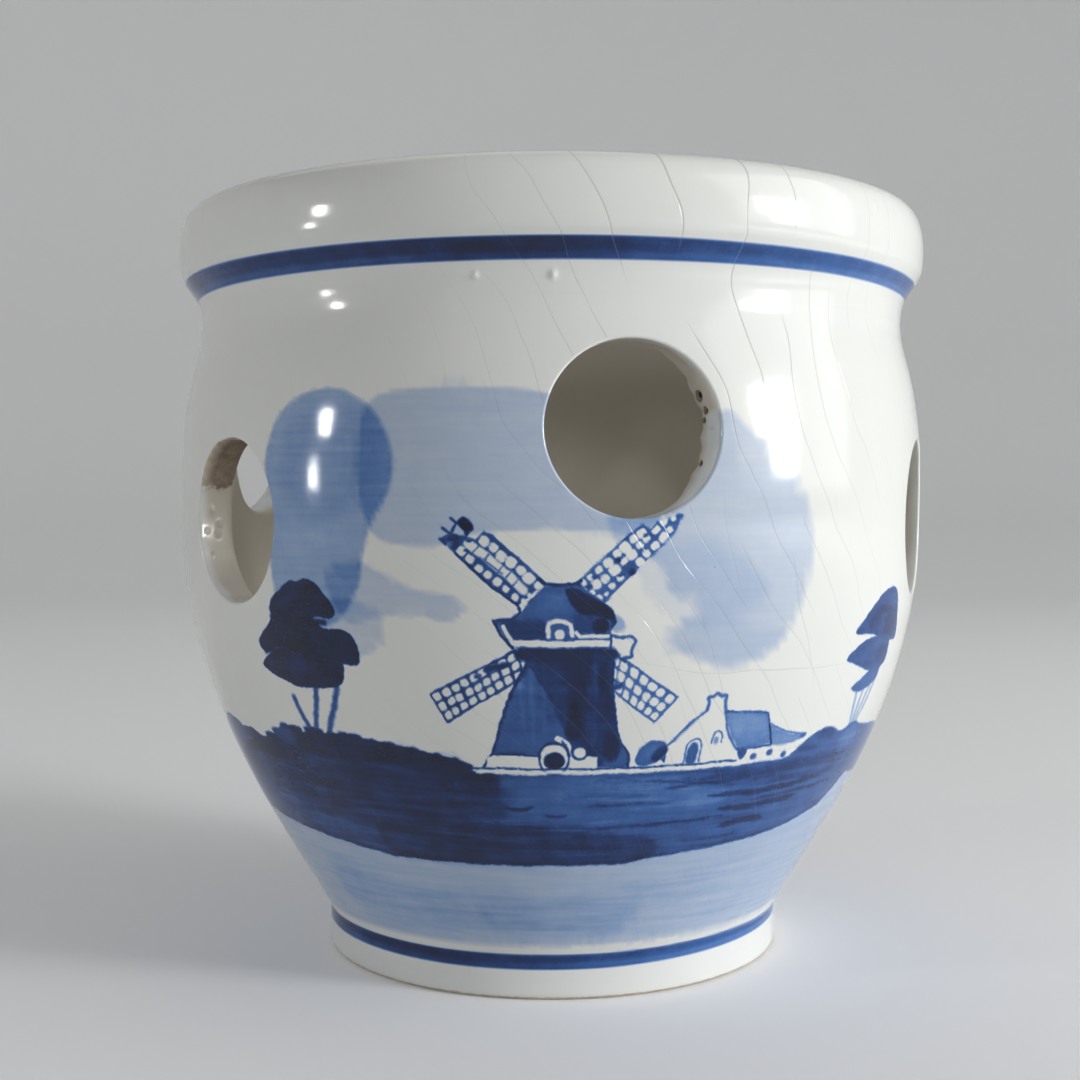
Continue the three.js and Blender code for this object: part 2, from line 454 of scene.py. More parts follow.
# The belt of land and water: its edges' heights and its depth of colour, at places round the pot
MID_BOTTOM = [(-201, 25), (-170, 24), (-130, 25.6), (-100, 27), (-70, 25.6), (-52, 24.2),
              (-45, 23.5), (-20, 23.3), (2, 23.4), (8, 24.2), (15, 24.6), (25, 25.2), (35, 26),
              (43, 27.2), (50, 28.5), (54.5, 31), (58, 33), (75, 31), (100, 28), (130, 26),
              (165, 26.4), (190, 25.4)]
MID_TOP = [(-201, 39.4), (-150, 40), (-110, 39.5), (-68, 39.6), (-40, 39.6), (-24, 38.5),
           (-20, 38.1), (0, 38.2), (20, 38.3), (31, 38.4), (40, 39.5), (60, 40), (90, 39.2),
           (130, 40), (170, 39)]
# The depth is higher on the left front than on the right, partly as painted shade
MID_DEPTH_AND_SHADE = [(-201, 0.6), (-100, 0.62), (-60, 0.66), (-28, 0.68), (-12, 0.65), (6, 0.6), (20, 0.56),
             (50, 0.54), (110, 0.56), (160, 0.6)]

# Dark water strokes: height, first and last place round the pot, width and depth of colour
WATER_STROKES = [
    (38.0, -54, -40, 1.2, 0.8), (35.4, -49, -32, 1.0, 0.78), (32.4, -49, -38, 0.9, 0.76),
    (29.6, -60, -46, 0.8, 0.74), (27.4, -40, -27, 1.1, 0.82), (25.0, -43, -30, 1.0, 0.72),
    (33.6, -62, -52, 0.8, 0.72), (30.6, -38, -29, 0.7, 0.78), (29.8, -27, 20.5, 0.5, 0.76),
    (27.1, -23, 8, 0.8, 0.78), (25.5, -21, -2, 0.5, 0.68), (32.8, -20, -15, 0.6, 0.78),
    (31.6, -13, -9.2, 0.4, 0.74), (28.0, -8, -5.6, 1.0, 0.8), (37.2, -5, 3, 0.25, 0.62),
    (36.6, 4, 20, 0.35, 0.68), (35.7, 7.5, 20, 0.5, 0.7), (33.7, 16, 45, 0.8, 0.74),
    (31.3, 19, 38, 0.9, 0.74), (28.7, 20.5, 31, 1.0, 0.72), (36.8, 20, 50, 1.2, 0.66),
    (35.2, 30, 52, 0.8, 0.64), (34.6, -10, 5, 0.5, 0.62), (33.2, -6, 9, 0.4, 0.6),
    (32.4, 26, 50, 0.5, 0.66), (26.6, 12, 26, 0.5, 0.62),
]


def paint_water(art):
    """The land and water belt, its strokes, and the pale wash below it."""
    below = [(u, v + 0.5) for u, v in MID_BOTTOM]
    art.band([(0, 9.0), (60, 9.6), (-60, 8.6)], below, [(0, 0.15)], 1.0, 0.7)
    art.band(MID_BOTTOM, MID_TOP, MID_DEPTH_AND_SHADE, 0.35, 0.45, pool=0.04)
    art.wash(loop((-44.5, 29), (-43.6, 24), (-30, 23.3), (0, 23.5), (8, 24.8), (6, 27.4), (-4, 28.6),
                  (-30, 30)), 0.12, soft=0.8)
    # A soft wash that darkens the left of the belt: painted shade
    art.wash(loop((-70, 38), (-50, 38.6), (-28, 38), (-19, 36), (-22, 31), (-40, 29.6),
                  (-60, 30), (-72, 33)), 0.12, soft=2.5)
    art.wash(loop((-18, 37.8), (2, 38), (16, 36.6), (20, 33), (10, 30.6), (-12, 30.6),
                  (-20, 33)), -0.12, soft=1.6)
    art.wash(loop((12, 37.6), (34, 38.2), (56, 39.6), (66, 38), (54, 34.6), (30, 34.6),
                  (14, 35.4)), 0.09, soft=0.8)
    art.wash(loop((-27, 17.6), (-8, 17.4), (8, 16.4), (3, 11), (-10, 10.2), (-25, 11)), 0.07, soft=2.2)
    art.wash(loop((4, 19.6), (16, 20.4), (27, 19), (20, 16.4), (8, 16.6)), 0.03, soft=1.8)
    art.wash(loop((-66, 20), (-48, 19), (-30, 17), (-28, 12), (-50, 11), (-66, 13)), 0.06, soft=2.5)
    for height, first, last, width, depth in WATER_STROKES:
        bow = 0.25 * math.sin(first)
        middle = (first + last) / 2
        lift = 0.014 * max(last - 8, 0)
        stroke = path((first, height - bow), (middle, height + bow), (last, height - bow + lift))
        art.line(stroke, width, depth + 0.04, soft=0.28, taper=0.12)


def paint_far_water(art):
    """Water strokes on the far side, spaced by a fixed seed."""
    chance = np.random.default_rng(11)
    for height in np.arange(27, 38, 1.35):
        for first in np.arange(66, 330, 31) + chance.uniform(-9, 9):
            long = chance.uniform(9, 26)
            start = (first + TURN / 2) % TURN - TURN / 2
            if -75 - long < start < 62 or start + long > TURN / 2:
                continue
            drift = chance.uniform(-0.3, 0.3)
            stroke = path((start, height), (start + long / 2, height + drift), (start + long, height))
            art.line(stroke, chance.uniform(0.5, 1.1), chance.uniform(0.62, 0.78), 0.45, 0.15)


def paint_bank(art):
    """The dark hedge on the left and the low hill on the right."""
    hedge = [(-82, 37.6), (-80, 40.6), (-74, 41.4), (-70, 40.4), (-66, 41.3), (-62.5, 42.8),
             (-59, 43.2), (-56.6, 42.5), (-54, 43.5), (-51.5, 42.7), (-48.5, 43), (-45.5, 43.1),
             (-43, 42.5), (-39.5, 42.3), (-36, 41.7), (-31, 41), (-27.4, 40.2), (-24.6, 39.5),
             (-24.6, 38.5), (-21, 38.2), (-20.4, 36.4), (-23, 35.8), (-27, 36.4), (-31, 36.2),
             (-36, 38.2), (-44, 39), (-52, 38.8), (-60, 38), (-68, 37.4)]
    art.fill(loop(*hedge, steps=4), 0.85, 0.35)
    for u, v, size in ((-67, 41.2, 1.4), (-64.4, 42.2, 1.2), (-61.2, 43.1, 1.3), (-58, 43.1, 1.2),
                       (-55, 43.3, 1.1), (-52.6, 43.2, 0.9), (-49.8, 42.9, 1.1), (-47.4, 43.2, 1.0),
                       (-44.8, 42.9, 1.1), (-41.6, 42.4, 1.0), (-38.6, 42.2, 1.1), (-34.6, 41.5, 1.2),
                       (-30.6, 41, 0.9), (-27.6, 40.4, 0.8)):
        art.fill(ellipse(u, v - 0.25, size, 0.4 * size), 0.86, 0.5)
    for u, v in ((-30.2, 36), (-28.8, 36.5), (-27.2, 36), (-25.6, 36.2), (-24, 35.6), (-22.4, 35.9),
                 (-21.2, 35.8)):
        art.line([(u, v + 0.7), (u + 0.3, v - 0.2)], 0.5, 0.9, soft=0.3)
    for u, v, size, depth in ((-62, 41.4, 3.4, 0.66), (-57, 41.2, 2.6, 0.9), (-48, 41.6, 3.6, 0.92),
                              (-38, 40.6, 4.5, 0.94), (-30, 39.6, 4.0, 0.95), (-24, 37.4, 3.0, 0.9)):
        art.wash(ellipse(u, v, size, 1.5), depth - 0.84, soft=1.2)
    hill = [(30.5, 38.4), (32.5, 39.2), (35.6, 40.9), (38, 41.9), (41, 42.5), (43.4, 41.8),
            (46, 41.2), (50, 42.4), (54, 41.4), (60, 40.9), (68, 40), (76, 39.2), (70, 38.2),
            (50, 38), (38, 38)]
    art.fill(loop(*hill, steps=4), 0.55, 0.3)
    art.wash(ellipse(40.6, 41.4, 3, 0.9), 0.12, soft=1.0)
    art.wash(ellipse(37, 39.4, 3, 0.7), 0.1, soft=0.8)
    art.wash(ellipse(50, 39.6, 4, 1.6), -0.14, soft=1.8)


def paint_tree(art, blobs, trunks, depth, trunk_depth):
    """Foliage in a few fat brush dabs over thin slanting trunks."""
    for trunk in trunks:
        art.line(path(*trunk), 0.95, trunk_depth, soft=0.45)
    for blob in blobs:
        art.fill(loop(*blob), depth, 0.22)


def paint_left_tree(art):
    """The dark tree above the hedge, in three layers that overlap."""
    top =[(-58.2, 61.2), (-57.4, 62.8), (-55.3, 64.2), (-53.4, 65.4), (-51.5, 65.6), (-49.7, 66),
           (-48, 65.4), (-46.7, 64), (-45.2, 62.4), (-44.9, 61.3), (-45.8, 60.3), (-48.2, 60.4),
           (-51, 59.6), (-55, 59.6), (-57.6, 60.1)]
    middle = [(-57, 60.3), (-59.6, 58.3), (-62, 56.4), (-62.1, 55.2), (-60.6, 54.6), (-57, 55.6),
              (-52, 55.2), (-47, 54.6), (-44, 53.6), (-41.9, 53.8), (-41.2, 55.2), (-42, 57.6),
              (-44, 58.8), (-47.5, 58.9), (-50, 60.4)]
    lower = [(-62.4, 52.6), (-60.6, 54), (-57, 55.4), (-50, 55.6), (-45, 55), (-44.6, 52.6),
             (-45.4, 50.6), (-48, 49.9), (-52, 49.8), (-55, 49.7), (-58, 50.6), (-60.8, 51.5)]
    trunks = [[(-50.8, 50.2), (-51.6, 47), (-53, 43.4)], [(-46.4, 50), (-48, 46.8), (-50.2, 43)],
              [(-56.3, 47.9), (-55.6, 45.6), (-54.7, 43.6)]]
    paint_tree(art, [lower, middle, top], trunks, 0.93, 0.62)
    for shade in (loop((-54.6, 51), (-55.6, 53), (-54.8, 54.9), (-52.6, 54.6), (-51.6, 52.6)),
                  ellipse(-54.2, 63, 2.4, 0.7, 24)):
        art.wash(shade, -0.14, soft=1.2)
    art.line(path((-58, 60), (-52, 59.4), (-47, 59.7)), 0.7, 0.97, soft=0.6)
    art.line(path((-61, 54.6), (-55, 55.4), (-47, 54.4)), 0.6, 0.97, soft=0.6)


def paint_right_tree(art):
    """The paler tree on the hill, also in three layers."""
    top =[(41.6, 57), (44, 59.2), (47, 61.6), (50, 63), (53.4, 63.4), (55.2, 62.5), (56.2, 61),
           (57.2, 58.6), (58.4, 56), (58.2, 54.9), (55, 54.9), (50, 55.9), (45, 56.6)]
    middle = [(40.7, 53), (43, 54.6), (46, 55.6), (51, 56), (55, 55.4), (56.2, 52.6), (55.4, 51.2),
              (53, 50.4), (50, 50.4), (46, 51.3), (43, 52.1)]
    lower = [(44.4, 48.2), (47, 49.4), (50, 50.6), (53.4, 50.8), (53.8, 49.2), (51.5, 47.9),
             (47.5, 47.3)]
    trunks = [[(46.8, 47.4), (47.4, 45), (48.5, 42)], [(51.6, 48), (50.6, 45.4), (49.6, 42)],
              [(49.2, 47.6), (49.0, 44.8), (49.2, 42.4)], [(54, 51), (52.4, 46), (50.4, 42)]]
    for trunk in trunks:
        art.line(path(*trunk), 0.8, 0.2, soft=0.4)
    art.fill(loop(*lower), 0.54, 0.3)
    art.fill(loop(*middle), 0.6, 0.25)
    art.fill(loop(*top), 0.64, 0.22)
    for shade in (ellipse(54, 57.6, 3.2, 2.0, -34), ellipse(53, 53.2, 2.6, 1.2),
                  ellipse(49, 59.4, 3.4, 0.8, 30)):
        art.wash(shade, 0.1, soft=1.6)


def clear_gap(art, centre, along, across):
    """A white gap with rounded corners, given its two half axes."""
    turn = np.linspace(0, 2 * math.pi, 16, endpoint=False)
    x = np.sign(np.cos(turn)) * np.abs(np.cos(turn)) ** 0.72
    y = np.sign(np.sin(turn)) * np.abs(np.sin(turn)) ** 0.72
    art.clear(np.array(centre) + np.outer(x, along) + np.outer(y, across), 0.2)


def paint_sail(art, root_top, tip_top, tip_foot, root_foot, long, seed, depth):
    """A mill sail: a lattice, three cells wide, with a rounded white gap in each cell."""
    chance = np.random.default_rng(seed)
    quad = corners(root_top, tip_top, tip_foot, root_foot)
    art.fill(quad, depth, 0.2)
    a, b, c, d = quad
    for i in range(long):
        for j in range(3):
            s = (i + 0.5 + chance.uniform(-0.07, 0.07)) / long
            t = (j + 0.5 + chance.uniform(-0.05, 0.05)) / 3
            centre = (1 - s) * ((1 - t) * a + t * d) + s * ((1 - t) * b + t * c)
            along = ((1 - t) * (b - a) + t * (c - d)) / long / 2
            across = ((1 - s) * (d - a) + s * (c - b)) / 3 / 2
            line = chance.uniform(0.2, 0.34, 2)
            along = along * (1 - line[0] / 2 / np.hypot(*along))
            across = across * (1 - line[1] / 2 / np.hypot(*across))
            clear_gap(art, centre, along, across)
    art.line(np.vstack([quad, quad[:1]]), 0.3, depth)


# The gaps of the two upper sails: place and half size
LEFT_GAPS = [
    (-13.6, 65.6, 0.6), (-14.95, 66.55, 0.86), (-16.05, 67.6, 0.7), (-17.4, 68.7, 0.84),
    (-18.75, 69.6, 0.8), (-19.8, 70.8, 0.68), (-21.1, 71.6, 0.8), (-15.7, 63.45, 0.4),
    (-16.8, 63.95, 0.56), (-18.1, 65.0, 0.52), (-19.25, 66.0, 0.68), (-20.55, 67.05, 0.62),
    (-21.8, 67.95, 0.6), (-23.05, 69.1, 0.64), (-24.3, 70.2, 0.7), (-14.8, 64.25, 0.36),
]
RIGHT_GAPS = [
    (-7.4, 65.9, 0.42), (-6.4, 66.7, 0.46), (-5.2, 67.7, 0.52), (-4.0, 68.7, 0.66), (-2.75, 69.9, 0.56),
    (-1.6, 70.8, 0.76), (-0.35, 71.9, 0.58), (0.7, 72.75, 0.64), (2.7, 73.15, 0.6), (3.75, 74.2, 0.56),
    (4.6, 73.1, 0.46), (-7.2, 64.9, 0.3), (-5.6, 65.75, 0.7), (-4.3, 66.5, 0.62), (-3.0, 67.7, 0.76),
    (-1.75, 68.85, 0.5), (-0.7, 69.75, 0.76), (0.5, 71.0, 0.54), (1.45, 71.9, 0.5), (2.7, 70.9, 0.6),
    (3.8, 72.0, 0.66), (-6.2, 64.6, 0.42), (-5.2, 63.8, 0.5), (-4.2, 64.4, 0.34), (-3.3, 65.5, 0.48),
    (-2.15, 66.55, 0.48), (0.45, 68.7, 0.6), (1.45, 69.85, 0.54), (5.3, 74.6, 0.4),
]


def paint_upper_sails(art):
    """The two raised sails, with their gaps, their thin laths and the dabs of ink round them."""
    left =corners((-12.6, 65.9), (-14.6, 67.5), (-20, 72.5), (-21, 72.9), (-22.4, 71.8), (-23.9, 72.3),
                   (-25.9, 72.8), (-27.4, 72.1), (-25.1, 69.8), (-23.6, 68.5), (-21.6, 66.6),
                   (-20, 65.1), (-18.2, 63.9), (-16.6, 62.8))
    right = corners((-8.4, 65.8), (-4.9, 69.1), (-1.9, 71.9), (0, 73.4), (0.95, 73.8), (2.05, 73.2),
                    (2.85, 74.1), (4.4, 74.7), (5.6, 75.2), (6.4, 74.9), (5.8, 73.2), (5, 72.1),
                    (3.7, 70.8), (2.6, 69.7), (1.3, 68.8), (-0.2, 67.2), (-0.9, 66.5), (-2.5, 65.1),
                    (-4.5, 62.9))
    for outline, gaps, depth, tilt, wide in ((left, LEFT_GAPS, 0.66, -39, 1.0),
                                             (right, RIGHT_GAPS, 0.54, 39, 1.1)):
        art.fill(outline, depth, 0.25)
        along = np.array([math.cos(math.radians(tilt)), math.sin(math.radians(tilt))])
        across = np.array([-along[1], along[0]])
        for u, v, half in gaps:
            clear_gap(art, (u, v), along * half * wide, across * half * wide * 0.94)
    art.clear_line(path((-23.4, 71.2), (-22.2, 70.4), (-21, 69.7), (-19.9, 68.7), (-18.6, 67.6),
                        (-17.4, 66.6), (-16.2, 65.4), (-15.6, 64.9)), 1.3, 0.3)
    for start, end in (((-19.5, 66.9), (-18.4, 68.4)), ((-17.9, 67.9), (-16.9, 67.3)),
                       ((-20.2, 70), (-19.7, 69.5)), ((-22, 68.9), (-21.6, 69.4)),
                       ((-22.9, 69.7), (-21.9, 71)), ((-21.3, 68.7), (-20.5, 69.9)),
                       ((-18.3, 66.2), (-17.4, 67.4)), ((-17.2, 65.4), (-16.4, 66.4)),
                       ((-21.2, 69.2), (-18.6, 67.1))):
        art.line([start, end], 0.2, 0.52)
    art.line([(-12.8, 66), (-16.5, 69.3), (-20, 72.5)], 0.3, 0.62)
    art.line([(-16.6, 62.9), (-20, 65.2), (-21.6, 66.8), (-25.1, 69.9)], 0.34, 0.78)
    art.fill(loop((-24.9, 74.3), (-24.2, 75), (-23.4, 74.8), (-22.7, 74), (-22.6, 73.3), (-23.1, 72.8),
                  (-23.7, 72.1), (-23.9, 72.9), (-24.5, 73.7)), 0.93, 0.3)
    art.fill(loop((-26.2, 72.2), (-25.2, 72.5), (-24.6, 72.1), (-24.7, 71), (-25.2, 70.4),
                  (-26, 71.2)), 0.8, 0.4)
    art.wash(ellipse(-25.9, 71.3, 0.5, 0.4), -0.3, soft=0.4)
    for start, end in (((-25.7, 74.8), (-24.9, 74.1)), ((-27.1, 73.5), (-25.9, 72.7)),
                       ((-27.4, 72), (-26.5, 71.2)), ((-25.9, 72.7), (-25.1, 73.9)),
                       ((-23.8, 70.3), (-23.3, 70.2)), ((-23.5, 71.7), (-23.1, 71.6))):
        art.line([start, end], 0.34, 0.76, soft=0.25)
    art.line([(-1.9, 71.8), (-1.1, 72.3), (0, 73.3), (0.95, 73.7), (2.2, 72.3)], 0.22, 0.62)
    art.line([(2, 73.1), (2.85, 74), (3.9, 73.1)], 0.22, 0.6)
    for u, v, half_u, half_v, depth in (
        (-2.65, 69.1, 0.4, 0.36, 0.8), (-1.2, 68.1, 0.9, 0.5, 0.6), (-0.6, 67.3, 0.45, 0.4, 0.84),
        (-2.1, 66.95, 0.5, 0.16, 0.74), (0.9, 70.5, 0.5, 0.18, 0.66), (1.3, 72.4, 0.36, 0.26, 0.64),
        (6.2, 74.9, 0.6, 0.34, 0.62), (5.2, 74, 0.5, 0.16, 0.58), (-8, 65.4, 0.4, 0.3, 0.8),
        (-5.6, 66.75, 0.5, 0.26, 0.66), (-6.6, 65.4, 0.5, 0.3, 0.7),
    ):
        art.fill(ellipse(u, v, half_u, half_v, 15), depth, 0.3)


def paint_sails(art):
    """All four sails, and the dabs of ink where they meet the mill."""
    paint_upper_sails(art)
    paint_sail(art, (-17, 56.5), (-30.1, 49.9), (-28, 45.9), (-15.8, 52.6), 9, 5, 0.7)
    paint_sail(art, (-3.4, 56.4), (7.4, 49.3), (4, 45.8), (-3.6, 51.2), 7, 6, 0.5)
    for u, v, size, depth in ((-20.6, 53.9, 1.1, 0.8), (-18.9, 54.2, 0.9, 0.82),
                              (-22.6, 52.8, 0.6, 0.7), (-2, 51.2, 0.9, 0.66), (-2.4, 56, 0.9, 0.6)):
        art.fill(ellipse(u, v, size, 0.4 * size + 0.1, 20), depth, 0.35)


def paint_tower(art):
    """The mill's tapering body, with its lighter left face, drips and white plinth."""
    body = corners((-16.4, 56.8), (-3.1, 56.8), (-2.8, 51), (-2, 46), (-1.1, 43), (0.3, 41.2),
                   (0.5, 39.2), (-4.4, 39.2), (-5.4, 41), (-21.2, 41.2), (-20.3, 43.6),
                   (-18.6, 48.6), (-15.6, 54.6))
    art.fill(body, 0.75, 0.2)
    art.wash(corners((-14.8, 54.6), (-12, 49.5), (-10.5, 46), (-9.4, 44), (-10.6, 41),
                     (-21.6, 41), (-18.6, 48.9)), -0.18, soft=0.6)
    art.wash(corners((-16.2, 53.6), (-15.6, 51), (-18.6, 50.6)), -0.14, soft=0.8)
    art.wash(loop((-13.6, 52), (-12, 49), (-11, 46), (-12.6, 46), (-14, 49)), 0.06, soft=1.0)
    art.wash(loop((-9.8, 54.6), (-6.6, 54.8), (-6.8, 49), (-7.4, 45), (-9, 45)), 0.07, soft=1.2)
    art.wash(corners((-4.8, 55), (-3, 55), (-2.6, 48), (-1.6, 44), (-4, 44)), 0.05, soft=0.9)
    art.wash(corners((-2, 43.4), (-1, 42.6), (0.4, 41), (0.4, 39.2), (-4.2, 39.2), (-3.4, 40.2)), -0.18,
             soft=0.7)
    chance = np.random.default_rng(2)
    for u in np.arange(-17.5, -2.5, 0.85):
        top = min(54.5, 48.9 + 1.9 * (u + 18.5))
        bottom = 42.6 + chance.uniform(0, 3)
        art.wash(corners((u, top), (u + 0.35, top), (u + 0.6, bottom), (u + 0.2, bottom)),
                 chance.uniform(-0.09, 0.07), soft=0.4)
    art.line([(-16.2, 55.9), (-3.2, 55.9)], 1.9, 0.86, soft=0.6)
    art.line(path((-15.2, 54.8), (-13.4, 52), (-11.6, 49.4)), 0.3, 0.8, soft=0.3)
    art.line([(-15.5, 54.5), (-18.5, 48.9), (-20.3, 43.6), (-21.2, 41.5), (-22.6, 39.4)], 0.45, 0.78)
    art.line([(-21.3, 41.3), (-13.8, 41.1)], 0.35, 0.74)
    art.line(path((-2.9, 55.6), (-2.7, 50), (-1.9, 45.6), (-0.9, 42.8), (0.3, 41.2), (0.5, 39.3)),
             0.45, 0.76)
    drips = [
        loop((-8.9, 49), (-8.1, 49), (-7.2, 46.5), (-7, 44.8), (-7.8, 43.4), (-8.9, 43.5),
             (-9.8, 44.6), (-9.4, 46.4)),
        loop((-3.6, 44.2), (-2.4, 44.2), (-1.4, 43.2), (-1.1, 41.8), (-1.7, 40.3), (-2.7, 40.2),
             (-3.6, 41.2), (-3.8, 42.6)),
    ]
    for drip in drips:
        art.fill(drip, 0.93, 0.6)
    for u, v in ((-9.7, 53.6), (-7.6, 51.4), (-6.3, 53.8), (-4.4, 52), (-3.6, 49.6), (-5.2, 47.4)):
        art.wash(ellipse(u, v, 0.5, 1.6), 0.07, soft=0.8)


def paint_cap(art):
    """The mill's cap, its arched window, the white gallery and the ink round them."""
    dome = corners((-12.9, 65.5), (-7.8, 65.5), (-5, 63.6), (-3.1, 61.8), (-2.6, 60.4), (-3.4, 58.8),
                   (-3.4, 56.6), (-16.8, 56.8), (-18.4, 58.4), (-19.6, 60.5), (-17.6, 60.9),
                   (-16.2, 61.6), (-14.9, 63.4))
    art.fill(dome, 0.58, 0.2)
    art.wash(loop((-18.8, 60.4), (-15, 60.8), (-13, 60.6), (-12.6, 58.2), (-17, 58)), 0.16, soft=0.7)
    art.wash(loop((-8.4, 61.2), (-5, 60.8), (-3.8, 59.2), (-6, 58.8), (-8.4, 59)), 0.12, soft=0.6)
    art.wash(loop((-15.2, 61.8), (-12, 64.6), (-9.6, 64.2), (-9.4, 61.8), (-12.6, 61.6)), -0.1,
             soft=1.6)
    art.line(path((-13.4, 66.4), (-12.6, 65.8), (-10.6, 65.6), (-8.6, 65.7), (-7.6, 66.2)), 0.45, 0.8)
    art.line([(-16.4, 62.6), (-16.2, 61.9), (-17.4, 60.9), (-19.9, 60.6)], 0.4, 0.76)
    art.line([(-19.9, 60.6), (-18.9, 58.7), (-17.3, 56.8)], 0.45, 0.8)
    art.fill(loop((-9.9, 64.9), (-8, 64.9), (-5.2, 63.4), (-3.4, 62.2), (-3.0, 61.2), (-3.8, 60.7),
                  (-5.4, 61.3), (-7.6, 61.7), (-9, 63)), 0.93, 0.3)
    art.fill(ellipse(-4.8, 59.8, 1.15, 1.1), 0.95, 0.3)
    art.wash(loop((-3, 61.4), (-1.6, 60.6), (-1.4, 59.6), (-2.6, 59), (-3.4, 60)), 0.2, soft=0.4)
    art.clear_line([(-16.9, 57.45), (-3.4, 57.4)], 0.95)
    art.clear_line(path((-17.2, 57.5), (-17.9, 58.6), (-18.6, 59.9)), 0.6)
    art.clear_line([(-8.3, 59.1), (-7.9, 58.45), (-3.7, 58.4)], 0.6)
    arch = path((-12.3, 58.5), (-12.3, 59.9), (-11.6, 60.5), (-9.9, 60.5), (-9.1, 59.9), (-8.9, 58.6))
    art.clear_line(arch, 0.7)
    art.clear(ellipse(-10.7, 58.75, 0.72, 0.8), 0.2)
    art.line([(-12.6, 57.95), (-8.6, 57.95)], 0.2, 0.6)
    lace = path((-3.2, 58.5), (-1.8, 58.3), (-0.4, 58.4), (0.3, 57.6), (-0.2, 56.6), (-0.3, 55.5),
                (-1.4, 55.3))
    art.clear(loop((-3, 58.2), (-1, 58.2), (-0.6, 56.8), (-1.4, 55.8), (-2.4, 56.4)), 0.25)
    art.line(lace, 0.45, 0.55)
    art.line([(-3.3, 58.6), (-3.3, 56.6), (-1.2, 54.8)], 0.35, 0.66)


def paint_plinth(art):
    """The white plinth, the round door and what stands at the mill's foot."""
    art.clear(corners((-22.3, 39.3), (-22, 40.9), (-13.8, 40.9), (-13.7, 39.3)), 0.2)
    art.clear(corners((-9.4, 39.3), (-9.4, 40.7), (-4.6, 40.9), (-4.4, 39.3)), 0.2)
    art.clear_line(path((-11, 43.8), (-9.4, 42.8), (-8.8, 41), (-8.4, 40.5)), 0.8)
    art.fill(ellipse(-11.4, 40.5, 2.5, 2.6), 0.72, 0.25)
    art.clear(ellipse(-11.4, 40.6, 2.25, 2.3), 0.2)
    art.fill(ellipse(-11.4, 40.3, 1.7, 1.35), 0.9, 0.25)
    art.line(ellipse(-11.4, 40.6, 2.45, 2.5, 0, 10, 180), 0.35, 0.78)
    art.line(path((-10.2, 43.3), (-9.3, 42), (-9, 40.6)), 0.25, 0.7)
    art.clear(ellipse(-7.4, 41.4, 1.1, 0.9), 0.2)
    art.line(ellipse(-7.4, 41.5, 1.15, 1.0), 0.4, 0.66)
    art.line(path((-7.9, 43.4), (-6.4, 42.8), (-5.7, 41.6)), 0.3, 0.4)
    art.line([(-25, 39.1), (-10, 39.0), (20, 39.1)], 0.3, 0.66)
    art.clear_line([(-24, 38.5), (20, 38.55), (32, 38.9)], 0.5, soft=0.4)
    art.wash(loop((1.6, 40), (2.2, 41.8), (4, 43), (6, 42.9), (6.9, 41.8), (6.4, 40.4), (4.4, 39.5),
                  (2.6, 39.3)), 0.46, soft=0.25, pool=0.08)
    art.wash(loop((4.2, 40.4), (5.4, 42), (6.7, 42.2), (6.5, 40.8), (5.2, 40)), 0.26, soft=0.5)
    art.line(path((6.2, 40.2), (6.6, 39.8)), 0.4, 0.6)


def paint_cottage(art):
    """A small gabled cottage with a chimney, a tiled roof and a fence."""
    ink = 0.52
    art.line(path((6.9, 42.3), (9.6, 44.9), (12.7, 47.2)), 0.4, ink, 0.3)
    art.line(path((12.6, 47.2), (12.7, 48.4), (12.5, 49.1), (13.3, 49.2), (14, 49.6), (14.8, 49.2),
                  (15.7, 49.2), (15.6, 48.2), (15.9, 46.9)), 0.5, ink, 0.3)
    art.line(path((15.9, 46.9), (17, 44), (18.2, 42.2), (19.6, 40.8)), 0.34, ink, 0.28)
    roof = corners((16.1, 46.8), (19, 46.5), (24.3, 46), (25.1, 44.4), (26.4, 41.2), (23, 41),
                   (19.7, 41.1), (18, 42.8), (16.9, 44.8))
    art.wash(roof, 0.3, soft=0.25, pool=0.06)
    art.wash(corners((19, 42.6), (25.4, 42.4), (26, 41.2), (20, 41)), 0.06, soft=1.0)
    art.line([(16.1, 46.9), (24.4, 46.1), (25.2, 44.2), (26.6, 41)], 0.35, 0.58)
    art.line([(19.6, 40.9), (26.6, 40.9)], 0.4, 0.56)
    art.wash(loop((25.2, 44.3), (27.6, 43.2), (31, 42.3), (34.6, 42), (34.2, 41.4), (31, 40.9),
                  (27, 40.8), (26.2, 42)), 0.3, soft=0.3, pool=0.05)
    art.line(path((25.4, 44.4), (29, 42.9), (34.6, 42)), 0.3, 0.42)
    art.fill(ellipse(34, 41.8, 0.8, 0.4), 0.5, 0.3)
    window = path((14.4, 42.3), (14.7, 43.5), (15.5, 44), (16.2, 43.4), (16.3, 42.2))
    art.line(window, 0.3, 0.42)
    art.fill(ellipse(15.2, 42.6, 0.45, 0.6), 0.3, 0.3)
    art.fill(loop((10.5, 39.4), (10.4, 41.4), (11.2, 42.4), (12.1, 41.8), (12, 39.4)), 0.58, 0.3)
    art.line(path((10.1, 39.4), (10.1, 41.9), (11.2, 42.9), (12.5, 42.4), (12.7, 39.5)), 0.28, 0.48)
    art.line([(6.6, 42), (6.6, 39.7)], 0.35, 0.55)
    art.fill(loop((19.8, 40.8), (21.8, 40.8), (21.3, 39.4), (20.6, 39.3)), 0.62, 0.3)
    for u, v, size in ((23.5, 39.4, 0.7), (26.9, 39.7, 0.65), (30.3, 39.2, 0.6)):
        art.fill(ellipse(u, v, size, 0.5), 0.6, 0.35)


